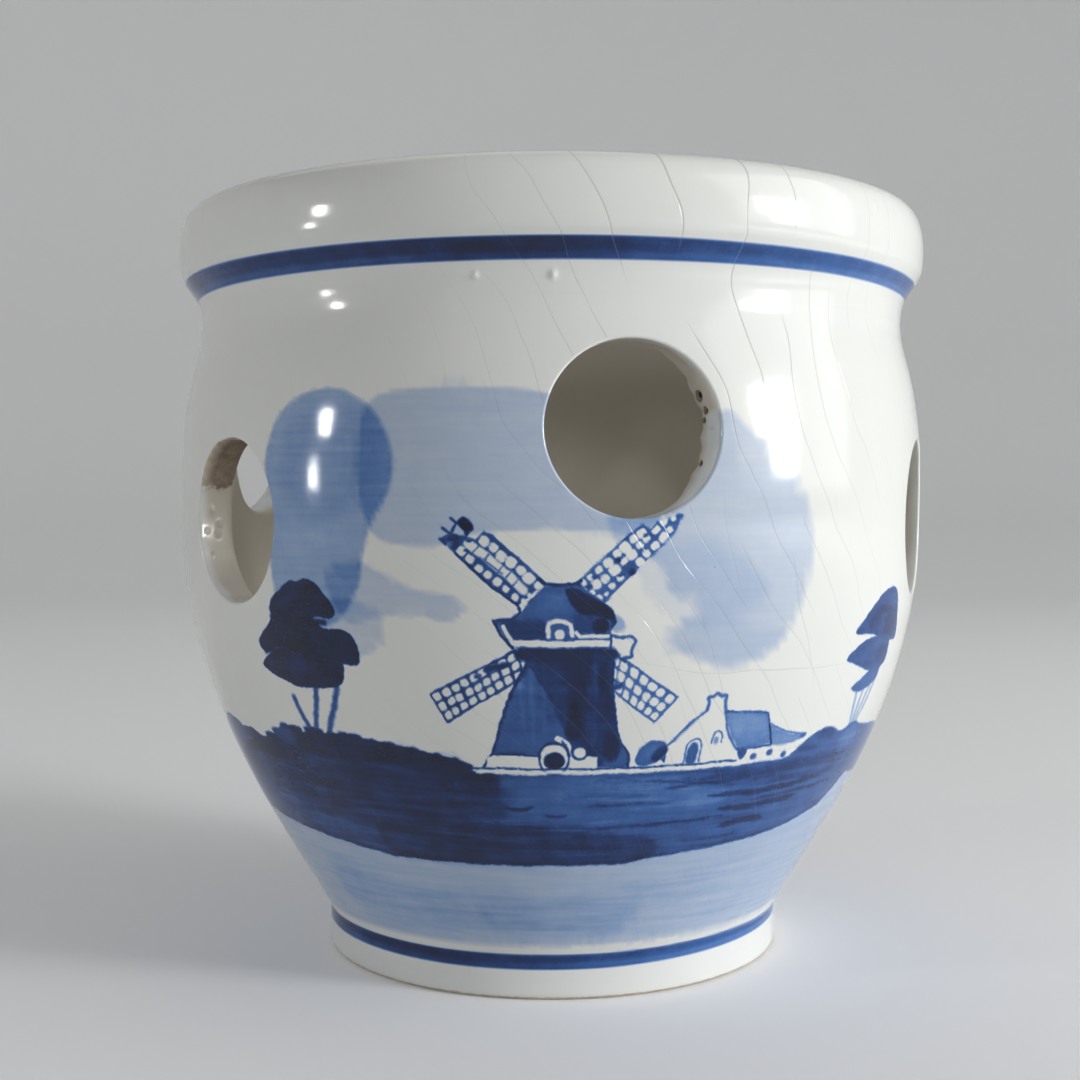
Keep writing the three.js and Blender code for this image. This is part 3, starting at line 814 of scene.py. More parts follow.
def paint_far_side(art):
    """A guessed quiet bank behind: hedges, a pair of trees and two small sailing boats."""
    for u, v, size in ((84, 40.4, 7), (97, 40, 5), (-84, 40.6, 8), (-104, 40.2, 6), (-140, 40.2, 8),
                       (-152, 40.6, 5), (178, 40, 8)):
        art.fill(loop((u - size, v - 1.6), (u - size * 0.7, v + 0.6), (u - size * 0.2, v + 1.9),
                      (u + size * 0.3, v + 1.5), (u + size * 0.75, v + 0.7), (u + size, v - 1.6)),
                 0.66, 0.35)
    for u, v, tall in ((-122, 41.5, 1.0), (-113, 41.5, 0.8)):
        trunk = [(u, v + 9 * tall), (u - 0.8, v + 5 * tall), (u - 1.4, v - 1)]
        crowns = [[(u - 6 * tall, v + 9 * tall), (u - 2, v + 12 * tall), (u + 3, v + 12 * tall),
                   (u + 7 * tall, v + 9.5 * tall), (u + 3, v + 7.6 * tall), (u - 3, v + 7.6 * tall)],
                  [(u - 5 * tall, v + 13 * tall), (u - 1, v + 16.4 * tall), (u + 3, v + 15.6 * tall),
                   (u + 5 * tall, v + 12.6 * tall), (u, v + 11.4 * tall)]]
        paint_tree(art, crowns, [trunk], 0.8, 0.6)
    for u, v, size in ((122, 37.6, 1.0), (152, 36.8, 0.7)):
        art.line([(u, v + 1), (u + 0.2, v + 19 * size)], 0.4, 0.66)
        art.wash(loop((u + 0.7, v + 3.4), (u + 0.6, v + 18 * size), (u + 4.6 * size, v + 10 * size),
                      (u + 7.6 * size, v + 3.2)), 0.26, soft=0.3, pool=0.12)
        art.wash(loop((u - 0.6, v + 3.4), (u - 0.4, v + 15 * size), (u - 3.4 * size, v + 8 * size),
                      (u - 5.4 * size, v + 3.4)), 0.16, soft=0.3, pool=0.12)
        art.fill(loop((u - 8 * size, v + 2.4), (u, v + 1.6), (u + 9 * size, v + 2.8),
                      (u + 6.6 * size, v - 0.6), (u - 5.6 * size, v - 0.6)), 0.74, 0.25)


# The painted lines round the rim and the foot: heights and depths at places round the pot
RIM_LINE_LOW = [(0, 110.4), (35, 110.5), (62, 110.2), (120, 110.5), (-150, 110.2), (-60, 110.3)]
RIM_LINE_HIGH = [(0, 113.3), (40, 113), (64, 112.7), (120, 113.3), (-150, 113.4), (-50, 113.3)]
FOOT_LINE_LOW = [(0, 4.9), (40, 5.4), (64, 5.6), (120, 5.0), (-150, 4.8), (-40, 4.8)]
FOOT_LINE_HIGH = [(0, 7.2), (40, 7.7), (64, 7.8), (120, 7.3), (-150, 7.2), (-40, 7.1)]
RIM_LINE_DEPTH = [(-160, 0.5), (-110, 0.58), (-70, 0.56), (-46, 0.64), (-24, 0.72), (-12, 0.75),
                  (0, 0.62), (16, 0.5), (46, 0.42), (64, 0.42), (90, 0.5), (140, 0.56)]
FOOT_LINE_DEPTH = [(-160, 0.5), (-100, 0.6), (-46, 0.7), (-20, 0.66), (2, 0.56), (20, 0.48),
                   (46, 0.42), (90, 0.46), (140, 0.58)]


def paint_lines(art):
    """Both lines, each laid on the wheel twice: full width, and again along its upper half."""
    art.u, art.v = art.true_u, art.true_v
    for low, high, depths in ((RIM_LINE_LOW, RIM_LINE_HIGH, RIM_LINE_DEPTH),
                              (FOOT_LINE_LOW, FOOT_LINE_HIGH, FOOT_LINE_DEPTH)):
        art.band(low, high, depths, 0.3, 0.1)
        art.band([(u, v + 1.0) for u, v in low], [(u, v - 0.15) for u, v in high], [(0, 0.12)], 0.6)


def painting(u, v):
    """Cobalt and streakiness at each point of the outside."""
    shape = np.shape(u)
    art = Brush(np.ravel(u).astype(float), np.ravel(v).astype(float))
    paint_sky(art)
    paint_far_sky(art)
    paint_water(art)
    paint_far_water(art)
    paint_bank(art)
    paint_far_side(art)
    paint_left_tree(art)
    paint_right_tree(art)
    paint_sails(art)
    paint_tower(art)
    paint_cap(art)
    paint_plinth(art)
    paint_cottage(art)
    paint_lines(art)
    return np.clip(art.cobalt, 0, 1).reshape(shape), art.streak.reshape(shape)


def crackle_amount(u, v):
    """Where the crackle shows: most of it right of the middle, and a little everywhere."""
    u = (u + TURN / 2) % TURN - TURN / 2
    main = np.exp(-((u - 14) / 30) ** 2) + 0.35 * np.exp(-((u + 120) / 40) ** 2)
    amount = np.clip(main + 0.3 * np.exp(-((u + 22) / 16) ** 2) * (v < 80), 0, 1)
    return amount * np.interp(v, (28, 44, 80, 92), (0.3, 0.7, 0.75, 1))


def crackle_place(u, v):
    """Coordinates in which the long cracks run straight up: across them, along them, and how
    much they are crossed. They lean to the right going down, and less so above the holes."""
    u = (u + TURN / 2) % TURN - TURN / 2
    steep = 0.04 + 0.42 / (1 + np.exp((u - 4) / 7))
    lean = steep * (v - 86) - 5.6 * np.log1p(np.exp((78 - v) / 6))
    crossed = np.exp(-((u - 26) / 20) ** 2) * np.clip((84 - v) / 20, 0, 1)
    return np.stack([u + lean, v - 0.5 * u, crossed], axis=-1)


# Building meshes

# The outside's largest cells in millimetres, how often they may be halved, and how far the
# painting may stray from even inside a cell and inside a last, smallest one
CELL = 2.56
LEVELS = 3
ROUGH_STRAY = 0.045
FINE_STRAY = 0.09
CELL_CORNERS = ((0, 0), (1, 0), (0, 1), (1, 1))


class Patch:
    """Part of a piece's surface, with its normals, texture places and what is painted on it.
    place holds the u and v of its points, where it carries crackle."""

    def __init__(self, points, normals, chart, faces, cobalt=0.0, streak=0.0, bare=0.0, inner=0.0,
                 place=None):
        self.points, self.normals, self.chart, self.faces = points, normals, chart, faces
        nothing = np.zeros(len(points))
        self.cobalt, self.streak = nothing + cobalt, nothing + streak
        self.bare, self.inner = nothing + bare, nothing + inner
        self.crackle = nothing
        self.crackle_place = np.zeros((len(points), 3))
        self.place = place
        if place is not None:
            self.crackle = crackle_amount(*place)
            self.crackle_place = crackle_place(*place)


def stray(value, size):
    """For each square cell of a grid, how far the values in it stray from its corners' blend."""
    share = np.arange(size + 1) / size
    corner = value[::size, ::size]
    left, right = corner[:-1, None, :], corner[1:, None, :]
    side = left + (right - left) * share[:, None]
    blend = side[..., :-1, None] + (side[..., 1:, None] - side[..., :-1, None]) * share
    i = np.arange(corner.shape[0] - 1)[:, None] * size + np.arange(size + 1)
    j = np.arange(corner.shape[1] - 1)[:, None] * size + np.arange(size + 1)
    return np.abs(value[i[:, :, None, None], j[None, None]] - blend).max(axis=(1, 3))


def graded_grid(sector, heights):
    """Corners of square cells that are halved wherever the painting isn't even inside them."""
    across = round((sector[1] - sector[0]) / CELL)
    up = round((heights[1] - heights[0]) / CELL)
    fine = 2 ** LEVELS
    us = np.linspace(*sector, 2 * across * fine + 1)
    vs = np.linspace(*heights, 2 * up * fine + 1)
    value, _ = painting(*np.meshgrid(us[::2], vs[::2], indexing="ij"))
    keep = np.zeros((len(us), len(vs)), bool)
    active = np.ones((across, up), bool)
    for level in range(LEVELS):
        size = fine >> level
        leaf = active & (stray(value, size) <= ROUGH_STRAY)
        i, j = np.nonzero(leaf)
        for di, dj in CELL_CORNERS:
            keep[(i + di) * 2 * size, (j + dj) * 2 * size] = True
        active = np.repeat(np.repeat(active & ~leaf, 2, axis=0), 2, axis=1)
    i, j = np.nonzero(active)
    for di, dj in CELL_CORNERS:
        keep[2 * (i + di), 2 * (j + dj)] = True
    between_nodes = np.zeros_like(keep)
    for di, dj in ((1, 0), (0, 1), (1, 1), (2, 1), (1, 2)):
        between_nodes[2 * i + di, 2 * j + dj] = True
    i, j = np.nonzero(between_nodes)
    low_i, high_i, low_j, high_j = i // 2, (i + 1) // 2, j // 2, (j + 1) // 2
    around = [(low_i, low_j), (high_i, low_j), (low_i, high_j), (high_i, high_j)]
    blend = sum(value[corner] for corner in around) / 4
    there, _ = painting(us[i], vs[j])
    uneven = np.abs(there - blend) > FINE_STRAY
    keep[i[uneven], j[uneven]] = True
    i, j = np.nonzero(keep)
    return us[i], vs[j]


class Hole:
    """A side hole: its angle round the pot, its half width and how far it sits to the right.
    Its spots are raised or sunk places in its tunnel: turn, share of the way in, size and rise.
    burr is how far the clay stands out at the right of its inner edge."""

    def __init__(self, angle, half_width=HOLE_RADIUS, aside=0.0, steps=120, spots=(), burr=0.0):
        self.angle, self.half_width, self.aside = angle, half_width, aside
        self.steps, self.spots, self.burr = steps, spots, burr
        self.height = LOWER_HOLE if angle % 120 else UPPER_HOLE
        self.middle = math.radians(angle) * BELLY_RADIUS

    def outline(self, grow, turn):
        """The hole's outline grown by a distance, as places to its right and heights."""
        side = self.aside + (self.half_width + grow) * np.sin(turn)
        return side, self.height + (HOLE_RADIUS + grow) * np.cos(turn)

    def holds(self, u, v, grow, radius_at):
        """Which points of a surface of revolution lie in the grown outline."""
        side = radius_at(u, v) * np.sin((u - self.middle) / BELLY_RADIUS) - self.aside
        reach = np.hypot(side / (self.half_width + grow), (v - self.height) / (HOLE_RADIUS + grow))
        return (np.abs(u - self.middle) < 2 * HOLE_RADIUS) & (reach < 1)

    def ring(self, grow, radius_at, steps=0):
        """Where the grown outline meets a surface of revolution."""
        side, v = self.outline(grow, np.linspace(0, 2 * math.pi, steps or self.steps, endpoint=False))
        return self.middle + BELLY_RADIUS * np.arcsin(side / radius_at(self.middle + side, v)), v

    def unevenness(self, turn, share):
        """How far the tunnel's wall bulges inwards."""
        wave = np.sin(3 * turn + 4 * share + self.angle) + 0.6 * np.sin(7 * turn - 6 * share)
        rise = 0.16 * (1 + wave) * share * (1 - share)
        ragged = 1 + 0.16 * np.sin(11 * turn + 2) + 0.1 * np.sin(27 * turn)
        from_right = (turn - 1.5 + math.pi) % (2 * math.pi) - math.pi
        rise = rise + self.burr * ragged * share ** 2 * np.exp(-(from_right / 0.9) ** 4)
        for spot_turn, spot_share, size, height in self.spots:
            away = np.hypot((turn - spot_turn) * HOLE_RADIUS, (share - spot_share) * WALL_THICKNESS)
            rise = rise + height * np.exp(-2 * (away / size) ** 2)
        return rise


BUBBLES = [(4.82, 0.41, 0.8, 0.4), (4.64, 0.67, 0.7, 0.45), (4.52, 0.6, 0.66, 0.4),
           (4.57, 0.2, 0.5, 0.3), (4.25, 0.3, 0.5, 0.3)]
PITS = [(1.14, 0.82, 0.8, -0.6), (1.34, 0.82, 0.55, -0.7), (1.46, 0.93, 0.4, -0.5),
        (1.99, 0.9, 0.45, -0.5)]
HOLES = [Hole(-60, 11.4, -0.5, 240, BUBBLES), Hole(0, steps=240, spots=PITS, burr=1.3),
         Hole(60, 11.4, 0.8), Hole(120, burr=0.5), Hole(180, burr=0.8), Hole(240, burr=0.4)]


def sector_holes(sector):
    return [hole for hole in HOLES if sector[0] < hole.middle < sector[1]]


def pierced(sector, u, v, grow, radius_at):
    """Triangles over the points of a sector, with its holes left open. grow is how much wider
    than the tunnels the holes are where they meet this surface."""
    rings = []
    keep = np.ones(len(u), bool)
    for hole in sector_holes(sector):
        keep &= ~hole.holds(u, v, grow + 0.35, radius_at)
        rings.append(hole.ring(grow, radius_at))
        rings.append(hole.ring(grow + 0.6, radius_at))
        rings.append(hole.ring(grow + 1.5, radius_at, hole.steps // 2))
    ring_u = np.concatenate([r[0] for r in rings])
    ring_v = np.concatenate([r[1] for r in rings])
    all_u, all_v = np.concatenate([ring_u, u[keep]]), np.concatenate([ring_v, v[keep]])
    edges = []
    start = 0
    for number, (ring, _) in enumerate(rings):
        count = len(ring)
        if number % 3 == 0:
            edges += [(start + k, start + (k + 1) % count) for k in range(count)]
        start += count
    flat = [Vector(p) for p in zip(all_u.tolist(), all_v.tolist())]
    _, _, faces, origin, _, _ = delaunay_2d_cdt(flat, edges, [], 0, 1e-4)
    source = np.array([o[0] if o else -1 for o in origin])
    if (source < 0).any():
        raise ValueError("the surface's edges cross")
    faces = source[np.array(faces)]
    middle_u, middle_v = all_u[faces].mean(axis=1), all_v[faces].mean(axis=1)
    for hole in sector_holes(sector):
        shut = ~hole.holds(middle_u, middle_v, grow, radius_at)
        faces, middle_u, middle_v = faces[shut], middle_u[shut], middle_v[shut]
    a, b, c = (np.stack([all_u[faces[:, k]], all_v[faces[:, k]]]) for k in range(3))
    area = (b[0] - a[0]) * (c[1] - a[1]) - (b[1] - a[1]) * (c[0] - a[0])
    faces = faces[np.abs(area) > 1e-7]
    area = area[np.abs(area) > 1e-7]
    faces[area < 0] = faces[area < 0][:, ::-1]
    used, renumbered = np.unique(faces, return_inverse=True)
    return all_u[used], all_v[used], renumbered.reshape(faces.shape)


# Where each part of the wall lies on its texture: corner, then units of texture per millimetre
CHART = 1 / 1024
FRONT_CHART = (8 * CHART, 8 * CHART, 5.95 * CHART)
BACK_CHART = (8 * CHART, 612 * CHART, 2.6 * CHART)
INNER_FRONT_CHART = (640 * CHART, 612 * CHART, 1.2 * CHART)
INNER_BACK_CHART = (640 * CHART, 740 * CHART, 1.2 * CHART)
TUNNEL_CHART = (8 * CHART, 884 * CHART, 2.1 * CHART)


def charted(u, v, first, low, chart):
    return np.stack([chart[0] + (u - first) * chart[2], chart[1] + (v - low) * chart[2]], axis=1)


def outside_patches():
    """The painted outside of the wall, in front and behind. Both share the points where they meet."""
    heights = (FOOT_JOINT, NECK_JOINT)
    grids = {name: graded_grid(sector, heights) for name, sector in (("front", FRONT), ("back", BACK))}
    for front_edge, back_edge in ((FRONT[1], BACK[0]), (FRONT[0], BACK[1])):
        shared = np.union1d(
            np.round(grids["front"][1][grids["front"][0] == front_edge], 6),
            np.round(grids["back"][1][grids["back"][0] == back_edge], 6),
        )
        for name, edge in (("front", front_edge), ("back", back_edge)):
            u, v = grids[name]
            inner = u != edge
            u = np.concatenate([u[inner], np.full(len(shared), edge)])
            grids[name] = (u, np.concatenate([v[inner], shared]))
    made = []
    for name, sector, chart in (("front", FRONT, FRONT_CHART), ("back", BACK, BACK_CHART)):
        u, v, faces = pierced(sector, *grids[name], HOLE_LIP, wall_radius)
        cobalt, streak = painting(u, v)
        normals = normals_of(wall_outside, u, v, *heights)
        where = charted(u, v, sector[0], heights[0], chart)
        made.append(Patch(wall_outside(u, v), normals, where, faces, cobalt, streak, place=(u, v)))
    return made


def inside_patches(columns):
    low, high = FILLET[-1, 1], TONGUE_TOP
    made = []
    for sector, chart in ((FRONT, INNER_FRONT_CHART), (BACK, INNER_BACK_CHART)):
        us = columns[(columns >= sector[0] - 1e-9) & (columns <= sector[1] + 1e-9)]
        vs = np.linspace(low, high, 36)
        u, v = (a.ravel() for a in np.meshgrid(us, vs, indexing="ij"))
        u, v, faces = pierced(sector, u, v, HOLE_INNER_LIP, lambda u, v: inside_radius(v) + 0 * u)
        normals = -normals_of(wall_inside, u, v, low, high)
        where = charted(u, v, sector[0], low, chart)
        made.append(Patch(wall_inside(u, v), normals, where, faces[:, ::-1], inner=1.0))
    return made


def tunnel_rows(hole):
    """Rows through the wall, over both rounded edges: how far each one's outline is grown, its
    share of the way in, and how far it is sunk."""
    bends = np.linspace(0, math.pi / 2, 7)
    rows = [(HOLE_LIP * (1 - math.sin(b)), 0.0, HOLE_LIP * (1 - math.cos(b))) for b in bends]
    for share in np.linspace(0, 1, hole.steps // 12)[1:-1]:
        rows.append((0.0, share, (1 - share) * HOLE_LIP - share * HOLE_INNER_LIP))
    lip = HOLE_INNER_LIP
    return rows + [(lip * (1 - math.sin(b)), 1.0, -lip * (1 - math.cos(b))) for b in bends[::-1]]


def tunnel_patch(number, hole):
    """The rounded edges of a hole and the uneven tunnel through the wall."""
    turn = np.append(np.linspace(0, 2 * math.pi, hole.steps, endpoint=False), 2 * math.pi)
    facing = math.radians(hole.angle)
    outward = np.array([math.sin(facing), -math.cos(facing), 0])
    right = np.array([math.cos(facing), math.sin(facing), 0])
    rows = tunnel_rows(hole)
    points = []
    for grow, share, sunk in rows:
        side, v = hole.outline(grow - hole.unevenness(turn, share), turn)
        u = hole.middle + BELLY_RADIUS * np.arcsin(side / wall_radius(hole.middle + side, v))
        near = np.sqrt(wall_radius(u, v) ** 2 - side ** 2)
        far = np.sqrt(inside_radius(v) ** 2 - side ** 2)
        out = near + share * (far - near) - sunk
        points.append(out[:, None] * outward + side[:, None] * right + v[:, None] * [0, 0, 1])
    points = np.array(points)
    count, width = len(rows), len(turn)
    along, around = np.gradient(points, axis=0), np.gradient(points, axis=1)
    around[:, 0] = around[:, -1] = points[:, 1] - points[:, -2]
    normals = np.cross(along, around)
    normals /= np.linalg.norm(normals, axis=-1, keepdims=True)
    for row, grow, radius_at, surface, sign in (
        (0, HOLE_LIP, wall_radius, wall_outside, 1),
        (-1, HOLE_INNER_LIP, lambda u, v: inside_radius(v) + 0 * u, wall_inside, -1),
    ):
        u, v = hole.ring(grow, radius_at)
        u, v = np.append(u, u[0]), np.append(v, v[0])
        points[row] = surface(u, v)
        normals[row] = sign * normals_of(surface, u, v, FOOT_JOINT, TONGUE_TOP)
    index = np.arange(count * width).reshape(count, width)
    faces = np.stack([index[:-1, :-1], index[1:, :-1], index[1:, 1:], index[:-1, 1:]], axis=-1)
    depth = np.concatenate([[0], np.cumsum(np.linalg.norm(np.diff(points[:, 0], axis=0), axis=1))])
    column, row = number % 3, number // 3
    x = TUNNEL_CHART[0] + (turn * HOLE_RADIUS + column * 84) * TUNNEL_CHART[2]
    y = TUNNEL_CHART[1] + (depth + row * 12) * TUNNEL_CHART[2]
    chart = np.stack(np.broadcast_arrays(x[None, :], y[:, None]), axis=-1).reshape(-1, 2)
    side, v = hole.outline(0.5, turn)
    edge_paint, _ = painting(hole.middle + BELLY_RADIUS * np.arcsin(side / BELLY_RADIUS), v)
    share = np.array([row[1] for row in rows])[:, None]
    # Cobalt from the edge runs far into the tunnel: partly wash that ran into the hole, partly painted
    # shade and reflection on its wall
    fade = np.maximum(1 - 8 * share, 0.35) * np.clip((1 - share) / 0.4, 0, 1)
    cobalt = (fade * edge_paint[None, :]).ravel()
    bare = tunnel_bareness(hole, turn, share, np.linspace(0, 1, count)[:, None]).ravel()
    # Deeper in, the tunnel takes the inside's glaze colour, which is partly painted shade
    inner = np.clip(3 * share + 0 * turn, 0, 1).ravel()
    return Patch(points.reshape(-1, 3), normals.reshape(-1, 3), chart, faces.reshape(-1, 4),
                 cobalt, 0.0, bare, inner)


def tunnel_bareness(hole, turn, share, row):
    """Where the glaze missed the tunnel: a patch in the left hole, and pits and specks."""
    bare = 0.08 * np.clip(row / 0.25, 0, 1) * np.clip((1 - row) / 0.1, 0, 1) + 0 * turn
    for spot_turn, spot_share, size, rise in hole.spots:
        away = np.hypot((turn - spot_turn) * HOLE_RADIUS, (share - spot_share) * WALL_THICKNESS)
        # Sunk spots also get values above 1.4, where the glaze paints the pits near black as shade
        bare = bare + 3 * (rise < 0) * np.exp(-2 * (away / size) ** 2)
    turn = (turn + math.pi) % (2 * math.pi) - math.pi
    if hole.angle == -60:
        patch = np.exp(-((turn + 0.66) / 0.52) ** 4) * np.clip((row + 0.02) / 0.16, 0, 1)
        return bare + patch * np.clip((1 - row) / 0.2, 0, 1)
    return bare + 0.22 * np.clip(row / 0.25, 0, 1) * np.exp(-((turn - 1.35) / 0.5) ** 2)


def turned_patch(section, columns, rows, chart, step=0.02, **paint):
    """A stretch of section turned round the axis, in a number of rows. step is for its normals."""
    surface, length = lathed(section)
    u, s = np.meshgrid(columns, np.linspace(0, length, rows), indexing="ij")
    normals = normals_of(surface, u, s, 0, length, step)
    return grid_patch(surface(u, s), normals, u, s, chart, **paint)


def grid_patch(points, normals, u, s, chart, **paint):
    """Faces over a grid of points, which closes to triangles where a row lies on the axis."""
    wide, tall = u.shape
    index = np.arange(wide * tall).reshape(wide, tall)
    faces = np.stack([index[:-1, :-1], index[1:, :-1], index[1:, 1:], index[:-1, 1:]], axis=-1)
    where = chart(u, s).reshape(-1, 2)
    return Patch(points.reshape(-1, 3), normals.reshape(-1, 3), where, faces.reshape(-1, 4), **paint)


def stitch(u_a, points_a, u_b, points_b, normal, chart_a, chart_b):
    """Triangles between two rings of points that are each sorted round the pot."""
    faces = []
    i, j, count = 0, 0, len(u_a)
    while i < len(u_a) - 1 or j < len(u_b) - 1:
        if j == len(u_b) - 1 or (i < len(u_a) - 1 and u_a[i + 1] <= u_b[j + 1]):
            faces.append((i, count + j, i + 1))
            i += 1
        else:
            faces.append((i, count + j, count + j + 1))
            j += 1
    points = np.vstack([points_a, points_b])
    normals = np.tile(np.array(normal, float), (len(points), 1))
    return Patch(points, normals, np.vstack([chart_a, chart_b]), np.array(faces))


def ring_of(patches, height):
    """The outside's points at a height, sorted round the pot."""
    u, v = (np.concatenate([p.place[k] for p in patches]) for k in (0, 1))
    return np.unique(np.round(u[np.abs(v - height) < 1e-4], 6))


def join(name, patches, material):
    """One closed mesh from patches, welded where their points meet, riding on the pot."""
    points = np.vstack([p.points for p in patches])
    keys = np.round(points * 2000).astype(np.int64)
    _, first, weld = np.unique(keys, axis=0, return_index=True, return_inverse=True)
    weld = weld.reshape(-1)
    start = 0
    corner, sizes = [], []
    for patch in patches:
        for size in (3, 4):
            if patch.faces.shape[1] != size:
                continue
            corner.append((patch.faces + start).ravel())
            sizes.append(np.full(len(patch.faces), size))
        start += len(patch.points)
    corner = np.concatenate(corner)
    sizes = np.concatenate(sizes)
    corner, sizes = without_doubles(corner, sizes, weld)
    mesh = bpy.data.meshes.new(name)
    mesh.vertices.add(len(first))
    mesh.vertices.foreach_set("co", (points[first] * MM).astype(np.float32).ravel())
    mesh.loops.add(len(corner))
    mesh.loops.foreach_set("vertex_index", weld[corner].astype(np.int32))
    mesh.polygons.add(len(sizes))
    starts = np.concatenate([[0], np.cumsum(sizes)[:-1]])
    mesh.polygons.foreach_set("loop_start", starts.astype(np.int32))
    mesh.polygons.foreach_set("loop_total", sizes.astype(np.int32))
    mesh.update(calc_edges=True)
    chart = np.vstack([p.chart for p in patches])[corner]
    layer = mesh.uv_layers.new(name="OFBake")
    layer.data.foreach_set("uv", chart.astype(np.float32).ravel())
    for key in ("cobalt", "streak", "bare", "inner", "crackle"):
        values = np.concatenate([getattr(p, key) for p in patches])[first]
        attribute = mesh.attributes.new(key, "FLOAT", "POINT")
        attribute.data.foreach_set("value", values.astype(np.float32))
    place = np.vstack([p.crackle_place for p in patches])[first]
    attribute = mesh.attributes.new("crackle_place", "FLOAT_VECTOR", "POINT")
    attribute.data.foreach_set("vector", place.astype(np.float32).ravel())
    normals = np.vstack([p.normals for p in patches])[corner]
    mesh.polygons.foreach_set("use_smooth", np.ones(len(sizes), bool))
    mesh.normals_split_custom_set(normals.astype(np.float32).tolist())
    mesh.materials.append(material)
    piece = bpy.data.objects.new(name, mesh)
    bpy.context.scene.collection.objects.link(piece)
    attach(piece, "root")
    return piece


def without_doubles(corner, sizes, weld):
    """Drops corners that weld to the same point, as at the axis, and faces that then vanish."""
    kept_corner, kept_sizes = [], []
    for size in (3, 4):
        starts = np.concatenate([[0], np.cumsum(sizes)[:-1]])[sizes == size]
        faces = corner[starts[:, None] + np.arange(size)]
        points = weld[faces]
        same = points == np.roll(points, -1, axis=1)
        whole = ~same.any(axis=1)
        kept_corner.append(faces[whole].ravel())
        kept_sizes.append(np.full(whole.sum(), size))
        if size == 4:
            for k in range(4):
                one = same[:, k] & (same.sum(axis=1) == 1)
                three = np.delete(faces[one], (k + 1) % 4, axis=1)
                kept_corner.append(three.ravel())
                kept_sizes.append(np.full(one.sum(), 3))
    return np.concatenate(kept_corner), np.concatenate(kept_sizes)


# The pieces

PLAIN_COLUMNS = 120


def plain_columns():
    """Places round the pot for plain surfaces. They include both ends of each sector."""
    front = np.linspace(*FRONT, 51)
    back = np.linspace(*BACK, PLAIN_COLUMNS - 50 + 1)
    return np.concatenate([front, back[1:]])


def strip_chart(left, bottom, per_u, per_s, first=-SECTOR_EDGE):
    """Texture places for a strip: its corner, and units of texture for each millimetre."""
    def chart(u, s):
        return np.stack([left + (u - first) * per_u, bottom + s * per_s], axis=-1)
    return chart


def make_wall(material):
    outside = outside_patches()
    columns = plain_columns()
    patches = outside + inside_patches(columns)
    for number, hole in enumerate(HOLES):
        patches.append(tunnel_patch(number, hole))
    small = 0.95 / TURN
    chart = strip_chart(0.01, 0.925, small, CHART * 1.5)
    fillet = turned_patch(FILLET, columns, 9, chart, 0.1, inner=1.0)
    fillet.normals = -fillet.normals
    patches.append(fillet)
    toe = [(FILLET[0, 0], FLOOR_TOP), (SEAT_RADIUS, FLOOR_TOP)]
    side = [(SEAT_RADIUS, FLOOR_TOP), (SEAT_RADIUS, FOOT_JOINT)]
    ledge = [(NECK_INSIDE, TONGUE_TOP), (TONGUE_RADIUS, TONGUE_TOP)]
    tongue = [(TONGUE_RADIUS, TONGUE_TOP), (TONGUE_RADIUS, NECK_JOINT)]
    for k, section in enumerate((toe, side, ledge[::-1], tongue[::-1])):
        chart = strip_chart(0.01, 0.945 + 0.009 * k, small, CHART)
        patches.append(turned_patch(section, columns, 2, chart))
    for k, (radius, height, facing) in enumerate(((SEAT_RADIUS, FOOT_JOINT, -1),
                                                  (TONGUE_RADIUS, NECK_JOINT, 1))):
        ring = ring_of(outside, height)
        chart = strip_chart(0.01, 0.982 + 0.009 * k, small, 0.006)
        outer = wall_outside(ring, np.full(len(ring), height))
        inner = at(columns, radius + 0 * columns, height)
        charts = chart(ring, 0 * ring), chart(columns, 0 * columns + 1)
        patches.append(stitch(ring, outer, columns, inner, (0, 0, facing), *charts))
    return join("painted_wall", face_out(patches), material)


def face_out(patches):
    """Turns each plain patch so that its faces agree with its normals."""
    for patch in patches:
        a, b, c = (patch.points[patch.faces[:, k]] for k in (0, 1, 2))
        facing = np.cross(b - a, c - a)
        agree = np.einsum("ij,ij->i", facing, patch.normals[patch.faces[:, 0]])
        if np.median(agree) < 0:
            patch.faces = patch.faces[:, ::-1]
    return patches


def rim_columns():
    """Places round the rim, closer together at the raised spots."""
    usual = np.linspace(-SECTOR_EDGE, TURN - SECTOR_EDGE, 421)
    spots = [np.arange(u - 2, u + 2.01, 0.2) for u, _, _, _ in PIMPLES]
    return np.unique(np.round(np.concatenate([usual] + spots), 6))


# Rows for each millimetre of the rim's section, and closer ones between two heights outside,
# about its painted line and at the line's edges
RIM_ROWS = 1.25
CLOSER_ROWS = [(106.5, 114.5, 3.0), (109.7, 111.1, 7.0), (112.1, 114.0, 7.0)]


def rim_rows():
    """Distances along the rim's section, closer together where the painted line's edges are."""
    s = np.linspace(0, RIM_LENGTH, 4000)
    height = np.interp(s, RIM_ALONG, RIM[:, 1])
    density = np.full(len(s), RIM_ROWS)
    for low, high, closer in CLOSER_ROWS:
        density[(s < 0.5 * RIM_LENGTH) & (height > low) & (height < high)] = closer
    total =np.concatenate([[0], np.cumsum(density[:-1] * np.diff(s))])
    return np.interp(np.linspace(0, total[-1], round(total[-1])), total, s)


